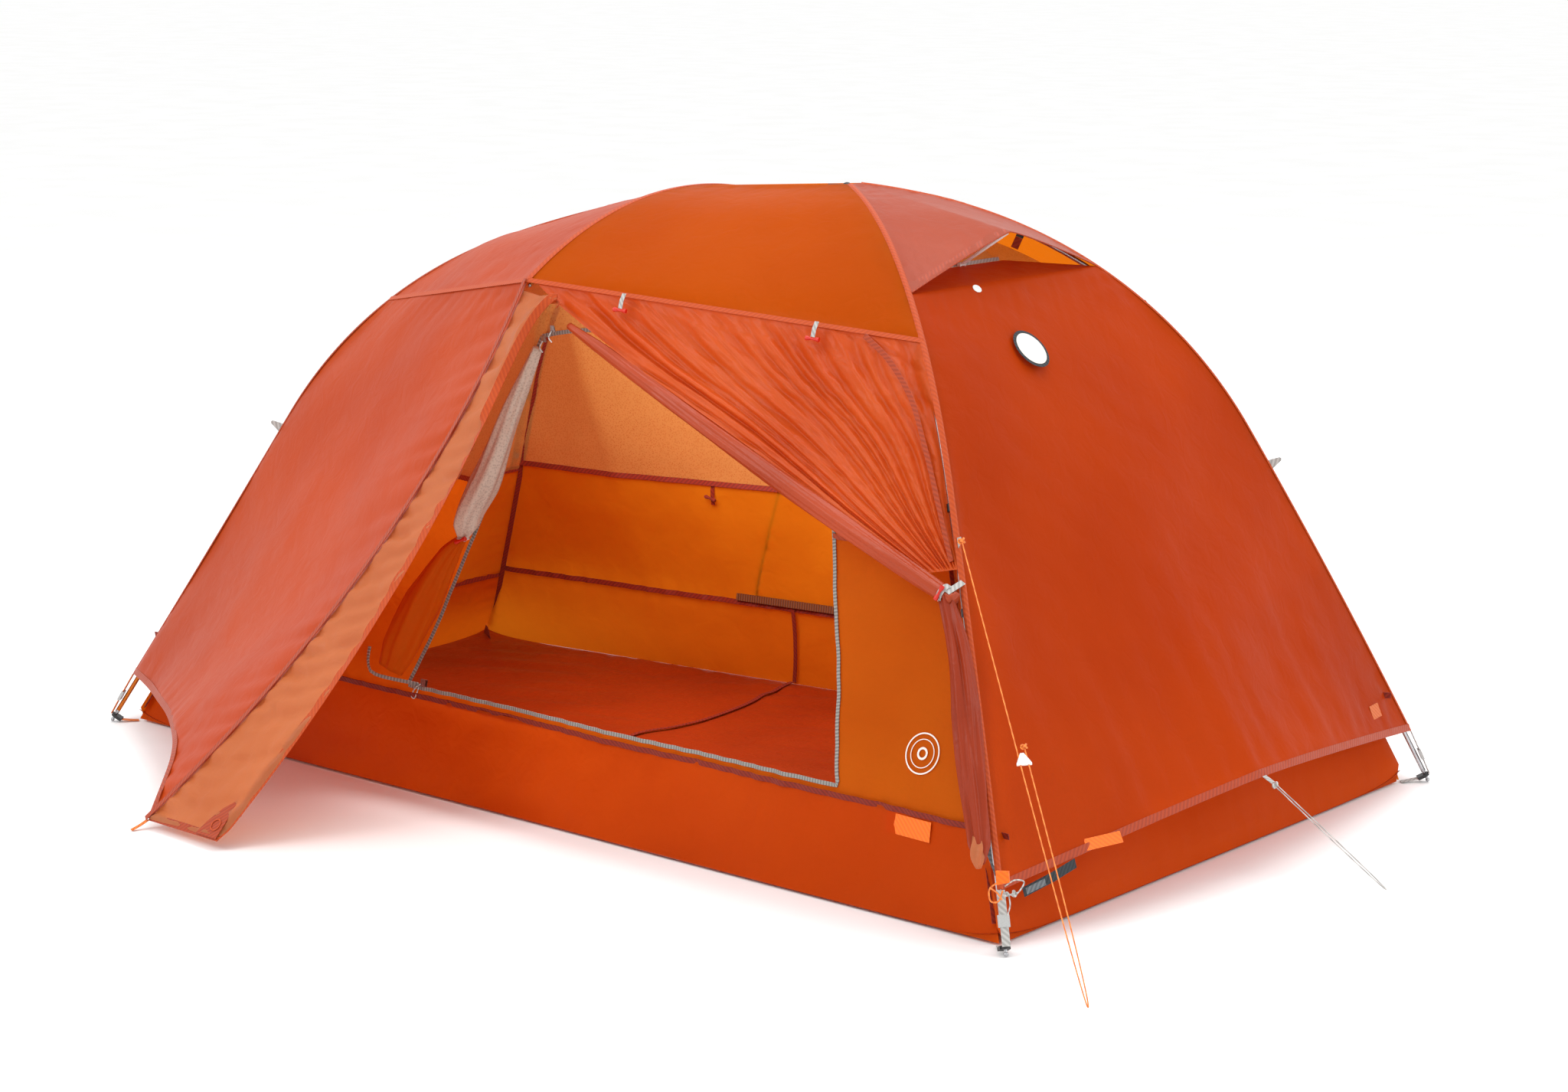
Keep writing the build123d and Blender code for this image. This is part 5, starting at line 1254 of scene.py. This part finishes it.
upper = rounded([roll_centre(0.97, 0.009), roll_centre(0.8, 0.013), roll_centre(0.62, 0.017), roll_centre(0.50, 0.017),
                 roll_centre(0.42, 0.008)])
tube("rolled_door_netting", upper,
     lambda s: np.interp(s, [0, 0.3, 0.7, 0.92, 1], [0.009, 0.017, 0.027, 0.023, 0.007]),
     "net_grey", ["front_door_roll"], around=40,
     fold=lambda s, a: 0.10 * np.sin(3 * a + 7 * s) + 0.06 * np.sin(7 * a - 5 * s), up=np.array([0.0, 1.0, 0]))
lower = rounded([roll_centre(0.43, 0.008), roll_centre(0.36, 0.022), roll_centre(0.2, 0.030), roll_centre(0.05, 0.030)])
tube("rolled_door_cloth", lower,
     lambda s: np.interp(s, [0, 0.15, 0.5, 0.85, 1], [0.007, 0.020, 0.034, 0.033, 0.024]),
     "inner", around=56,
     fold=lambda s, a: 0.12 * np.sin(3 * a + 2 * s) + 0.09 * np.sin(6 * a - 4 * s) + 0.04 * np.sin(12 * a),
     up=np.array([0.0, 1.0, 0]), flat=0.8)
tie_place = roll_centre(0.425, 0.008)
turn = np.linspace(0, 6.2, 40)
tube("door_tie_elastic",
     tie_place + 0.0115 * np.column_stack([np.cos(turn), np.sin(turn), 0 * turn]),
     lambda s: 0.0018 + 0 * s, "elastic", around=10, step=0.003)
tube("door_tie_toggle", straight(tie_place + np.array([-0.004, -0.016, -0.006]),
                                 tie_place + np.array([0.020, -0.014, 0.004]), 12),
     lambda s: np.interp(s, [0, 0.1, 0.45, 0.55, 0.9, 1], [0.0038, 0.0042, 0.0024, 0.0024, 0.0042, 0.0038]),
     "red", around=20, step=0.002)
hanging_foot = roll_centre(0.05, 0.030)
zip_edge = rounded([*(hanging_foot + np.array([(-0.036, -0.020, 0.040), (-0.033, -0.028, 0.014),
                                               (-0.014, -0.030, -0.008)])),
                    part_middle("door_slider") + np.array([-0.010, -0.003, -0.004])])
ribbon("rolled_door_zip_edge", zip_edge, (-0.2, -1, -0.3), 0.009, 0.0018, "zip")

# ---------------------------------------------------------------- straps, loops and small parts

for end in (HEAD, FOOT):
    for side in (FRONT, BACK):
        which = leg_name(end, side)
        tip, along, normal = tip_point(end, side), LEGS[end, side].way(1.0), leg_normal(end, side, 1.0)
        bar = tip - along * 0.011 - normal * 0.016
        floor_tip = corner_point(end, side) + UP * 0.001
        sag = mix(floor_tip, bar, 0.5) - UP * 0.0005
        first = (end, side) == (HEAD, FRONT)
        webbing_finish = "grey_tape" if end > 0 else "orange_tape"
        ribbon(f"{which}_floor_strap", np.array([floor_tip + unit(bar - floor_tip) * 0.001, sag, bar]), UP,
               0.014, 0.0014, webbing_finish, ["floor_straps"] if first else ())
        fly_foot = beside_leg(end, side, share_at(end, CORNER_HEIGHT), FLY)
        start = tip - along * 0.011 + normal * 0.008
        path = np.array([start, mix(start, fly_foot, 0.5) + normal * 0.0006, fly_foot + along * 0.001])
        ribbon(f"{which}_fly_strap", path, normal, 0.014, 0.0014, webbing_finish,
               ["fly_straps"] if first else ())

for (end, side), run in LEGS.items():
    which = leg_name(end, side)
    first = (end, side) == (HEAD, FRONT)
    for k, share in enumerate(CLIP_SHARES):
        place, normal, way = run.at(share), leg_normal(end, side, share), run.way(share)
        ribbon(f"{which}_clip_tab_{k}",
               np.array([place - normal * (POLE_BORE + 0.0073), place - normal * (0.036 - 0.0025)]),
               np.cross(normal, way), 0.014, 0.0012, "hem",
               ["clip_tabs"] if first and k == 0 else ())
    for k, share in enumerate(WRAP_SHARES):
        place, normal, way = run.at(share), leg_normal(end, side, share), run.way(share)
        turn = np.linspace(0, 2 * math.pi, 40)
        ring = place + 0.0056 * (np.cos(turn)[:, None] * normal + np.sin(turn)[:, None] * np.cross(way, normal))
        ribbon(f"{which}_pole_wrap_{k}", ring, unit(ring - place), 0.014, 0.0009, "slate_tape",
               ["fly_pole_wraps"] if first and k == 0 else (), step=0.0012)
    share = share_at(end, GUY_HEIGHT)
    start, out, way = beside_leg(end, side, share, FLY + 0.0023), leg_normal(end, side, share), run.way(share)
    plate(f"{which}_guy_tab", [(0, -0.009), (0.021, -0.0035), (0.023, 0), (0.021, 0.0035), (0, 0.009)],
          start - out * 0.001, out, way, 0.0014, "grey_tape", ["guy_tabs"] if first else ())

# peg loops, hem tabs and the two webbing loops in the roof seam
loops = ((FRONT_PEG, np.array([-0.35, -0.94, 0]), "front_peg_loop", "orange_tape"),
         (BACK_PEG, np.array([0, 1.0, 0]), "back_peg_loop", "orange_tape"))
for k, (peg, way, name, finish) in enumerate(loops):
    start = peg + way * 0.0008
    finish_at = (start + way * 0.032) * np.array([1, 1, 0]) + UP * 0.0012
    ribbon(name, np.array([start, mix(start, finish_at, 0.5) - UP * 0.001, finish_at]), UP, 0.010, 0.0014, finish,
           ["hem_loops"] if k == 0 else ())
for end, which in ((HEAD, "head"), (FOOT, "foot")):
    edge = beside_leg(end, BACK, share_at(end, CORNER_HEIGHT), FLY)
    start = np.array([edge[0] + end * 0.0812, 0, edge[2] + 0.062])
    ribbon(f"{which}_hem_tab", np.array([start, start + np.array([end * 0.018, 0, -0.009])]), UP, 0.012, 0.0014,
           "grey_tape")

way = unit(TIE - ROLL_START)
ring_centre = TIE - way * 0.022
turn = np.linspace(0, 2 * math.pi, 50)
axis_x = unit(np.cross(way, UP))
axis_y = np.cross(way, axis_x)
ring = ring_centre + 0.0158 * (np.cos(turn)[:, None] * axis_x + np.sin(turn)[:, None] * axis_y)
ribbon("tie_back_loop", ring, unit(ring - ring_centre), 0.012, 0.0012, "grey_tape", ["fly_loops"],
       step=0.003)
strap_end = beside_leg(HEAD, FRONT, share_at(HEAD, 0.545), FLY + 0.002)
ribbon("tie_back_strap", np.array([ring_centre + np.array([0.012, -0.012, 0.006]), strap_end]), (0.2, -1, 0.3), 0.011,
       0.0012, "grey_tape")
for name in ("roof_toggle_foot", "roof_toggle_head"):
    middle = part_middle(name)
    top = middle + np.array([0.002, 0.010, 0.029])
    ribbon(f"{name}_loop",
           np.array([top, mix(top, middle, 0.5) + np.array([0, -0.003, 0]), middle + np.array([0, 0.0005, 0.0032])]),
           (-0.1, -1, 0.3), 0.010, 0.0012, "grey_tape")

# badge: a plain round patch with a border
low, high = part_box("fly_badge")
badge_at = part_middle("fly_badge")
edge_x = np.array([0, 1.0, 0])
size = np.array(high - low)
tilt = math.atan2(size[2], size[0])
badge_up = unit(np.array([-math.cos(tilt), 0, math.sin(tilt)]))
badge_out = np.cross(edge_x, badge_up)
for name, radius, lift, finish, nodes in (("badge_border", 0.040, 0.0, "label", ["fly_badge"]),
                                          ("badge_field", 0.0335, 0.0007, "print", [])):
    plate(name, round_outline(radius, 48), badge_at + badge_out * lift, edge_x, badge_up, 0.0009, finish,
          nodes)

# ---------------------------------------------------------------- patches, prints and small sewn parts


def settle(name, point):
    """The nearest place on a piece, and the way its face looks there, away from the cabin."""
    obj = bpy.data.objects[name]
    tree = BVHTree.FromPolygons([v.co for v in obj.data.vertices], [tuple(p.vertices) for p in obj.data.polygons])
    place, normal, _, _ = tree.find_nearest(Vector(point))
    place, normal = np.array(place), np.array(normal)
    return place, normal if normal @ (place - INSIDE) > 0 else -normal


def sewn_plate(name, onto, point, outline, thickness, finish, lift=0.0012):
    place, normal = settle(onto, point)
    x = unit(np.cross(UP, normal))
    return plate(name, outline, place + normal * (lift + thickness / 2), x, np.cross(normal, x), thickness, finish)


def box_outline(width, height):
    w, h = width / 2, height / 2
    return [(-w, -h), (w, -h), (w, h), (-w, h)]


def ring_on(name, onto, point, radius, width, finish, lift=0.0012):
    """A thin printed ring."""
    place, normal = settle(onto, point)
    x = unit(np.cross(UP, normal))
    y = np.cross(normal, x)
    turn = np.linspace(0, 2 * math.pi, 72)
    path = place + normal * lift + radius * (np.cos(turn)[:, None] * x + np.sin(turn)[:, None] * y)
    return ribbon(name, path, normal, width, 0.0006, finish, step=0.003)


def cord_bit(name, start, steps, thick, finish, body="tent"):
    """A short sewn-on loop of cord or elastic through places given in millimetres from its start."""
    points = start + np.array(steps) / 1000
    return tube(name, rounded(points, 60), lambda s: thick / 2 + 0 * s, finish, body=body, around=10,
                step=max(0.0015, thick * 0.6))


sewn_plate("vent_reinforcement_dot", "head_end_cloth", (0.662, -0.104, 0.975), round_outline(0.0085, 32, 1.25), 0.0010,
           "white")
sewn_plate("end_cloth_label", "head_end_cloth", (1.12, 0.544, 0.160), box_outline(0.040, 0.026), 0.0006, "strap_print")
sewn_plate("end_cloth_patch", "head_end_cloth", (1.152, -0.43, 0.128), box_outline(0.082, 0.020), 0.0006, "patch",
           0.0022)
sewn_plate("bathtub_patch", "front_bathtub_cloth", (0.896, -0.63, 0.152), box_outline(0.100, 0.034), 0.0006, "patch",
           0.0014)
for radius, width in ((0.034, 0.0026), (0.024, 0.0016), (0.009, 0.0040)):
    ring_on(f"wall_print_ring_{round(radius * 1000)}", "front_wall_cloth", (0.902, -0.608, 0.279), radius, width,
            "print", 0.0022)
ring_on("flap_patch_ring", "storm_flap_cloth", corner + to_left * 0.030 + to_top * 0.028, 0.011, 0.003, "hem_painted_light",
        0.0060)

# corner of the flysheet at the head: joining block, elastic, cord loops, straps and a plain tag
FLY_CORNER = beside_leg(HEAD, FRONT, share_at(HEAD, CORNER_HEIGHT), FLY)
ribbon("corner_wall_strap", np.array([(1.060, -0.632, 0.178), (1.088, -0.650, 0.150), (1.116, -0.666, 0.122)]),
       (0.2, -1, 0.2), 0.013, 0.0014, "slate_tape")
ribbon("corner_plain_tag", np.array([(1.132, -0.617, 0.083), (1.150, -0.560, 0.099), (1.158, -0.507, 0.112)]),
       (1, -0.2, 0.1), 0.017, 0.0012, "label")
ribbon("corner_tag_print", np.array([(1.1335, -0.612, 0.084), (1.146, -0.576, 0.094)]), (1, -0.2, 0.1), 0.012, 0.0020,
       "slate_tape")
plate("corner_joining_block", [(-0.011, -0.011), (0.011, -0.009), (0.013, 0.009), (-0.008, 0.012)],
      FLY_CORNER + np.array([0.014, -0.016, 0.026]),
      np.array([0.9, 0.3, 0.2]), np.array([-0.2, -0.05, 1.0]), 0.006, "patch")
start = FLY_CORNER + np.array([0.008, -0.018, 0.018])
cord_bit("corner_elastic_loop", start, [(0, 0, 0), (-14, -4, -14), (-10, -6, -32), (4, -4, -30), (10, -2, -12)], 0.0028,
         "cord_orange")
cord_bit("corner_elastic_twist", start, [(-12, -6, -10), (4, -8, -16), (12, -6, -26)], 0.0026, "cord_orange")
start = FLY_CORNER + np.array([0.018, -0.014, 0.012])
cord_bit("corner_cord_loop", start, [(0, 0, 0), (16, 4, 12), (30, 10, 10), (22, 4, -8), (10, -1, -12)], 0.0024,
         "cord_grey")
cord_bit("corner_cord_tail", start, [(8, -1, -10), (12, -2, -28), (9, -4, -46)], 0.0022, "cord_grey")
knot("corner_cord_knot_upper", start + np.array([0.017, 0.002, -0.010]), 0.010, (1, 0.2, 0.3), "cord_grey")
knot("corner_cord_knot_lower", start + np.array([0.004, -0.001, -0.012]), 0.009, (0.3, 0.2, 1), "cord_grey")

# inner tent: corner seams, the back door's sill, a loop with its toggle, and the zip sliders' pulls
for end, side in LEGS:
    which = leg_name(end, side)
    top, foot = share_at(end, SEAM_HEIGHT[end]), share_at(end, 0.055)
    ribbon(f"{which}_inner_corner_seam", leg_edge(end, side, top, foot, INNER - 0.007, 80),
           leg_normal(end, side, np.linspace(top, foot, 80)), 0.011, 0.0018, "seam")
gusset = corner_point(FOOT, BACK) + np.array([0.034, -0.030, 0.016])
plate("foot_back_gusset", [(-0.030, -0.011), (0.030, -0.011), (0.008, 0.016), (-0.008, 0.018)], gusset, (0.85, -0.5, 0),
      (0, 0, 1), 0.0014, "seam")
x = np.linspace(-0.385, -0.135, 20)
ribbon("back_door_sill", np.column_stack([x, walls[BACK].y(x, 0.187 + 0 * x) - 0.006, 0.187 + 0 * x]), (0, -1, 0.15),
       0.016, 0.003, "zip_brown")
# the dark red line across the floor, where it rises up the back bathtub wall
rise_x, rise_z = np.array([-0.267, -0.256, -0.247, -0.243]), np.array([0.010, 0.060, 0.120, 0.176])
ribbon("floor_dark_line_rise", rounded(np.column_stack([rise_x, walls[BACK].y(rise_x, rise_z) - 0.007, rise_z]), 40),
       (0, -1, 0.2), 0.010, 0.0014, "seam")
hook = np.array([-0.390, float(walls[BACK].y(-0.39, 0.43)) - 0.008, 0.428])
ribbon("back_wall_loop", np.array([hook + UP * 0.012, hook + np.array([0, -0.004, -0.010]), hook - UP * 0.034]),
       (0, -1, 0.1), 0.010, 0.0014, "seam")
tube("back_wall_toggle",
     straight(hook + np.array([-0.014, -0.010, -0.016]), hook + np.array([0.014, -0.010, -0.022]), 10),
     lambda s: np.interp(s, [0, 0.12, 0.45, 0.55, 0.88, 1], [0.003, 0.0042, 0.0024, 0.0024, 0.0042, 0.003]),
     "seam", around=16, step=0.0015)
slider = part_middle("door_slider")
cord_bit("door_slider_pull", slider, [(-4, -4.6, -2), (-14, -8.5, -10), (-24, -9.5, -26), (-16, -9.5, -30),
                                      (-6, -7.5, -8)], 0.0022, "cord_grey", "door_slider_body")
for k, (px, pz) in enumerate(((0.010, 0.891), (-0.012, 0.871))):
    place = np.array([px, -0.492, pz])
    plate(f"fly_zip_slider_{k}", [(-0.005, -0.006), (0.005, -0.006), (0.0035, 0.006), (-0.0035, 0.006)], place,
          (1, 0.1, 0), (0, -0.2, 1), 0.004, "zinc")
    cord_bit(f"fly_zip_pull_{k}", place, [(0, -3, -4), (-5, -5, -16), (2, -5, -24)], 0.0024, "cord_grey")

# the guyline's three-cornered tensioner
way = unit(np.array(GUYLINE[1]) - np.array(GUYLINE[0]))
between = unit(np.array(GUYLINE[2]) - np.array(GUYLINE[1]))
middle = part_middle("guyline_tensioner")
plate("three_cornered_tensioner", [(-0.0125, 0.0105), (0.0125, 0.0105), (0.0125, 0.0070), (0.0030, -0.0105),
                                   (-0.0030, -0.0105), (-0.0125, 0.0070)],
      middle, between, way, 0.0046, "white", ["guyline_tensioner"], "guyline_tensioner_body")
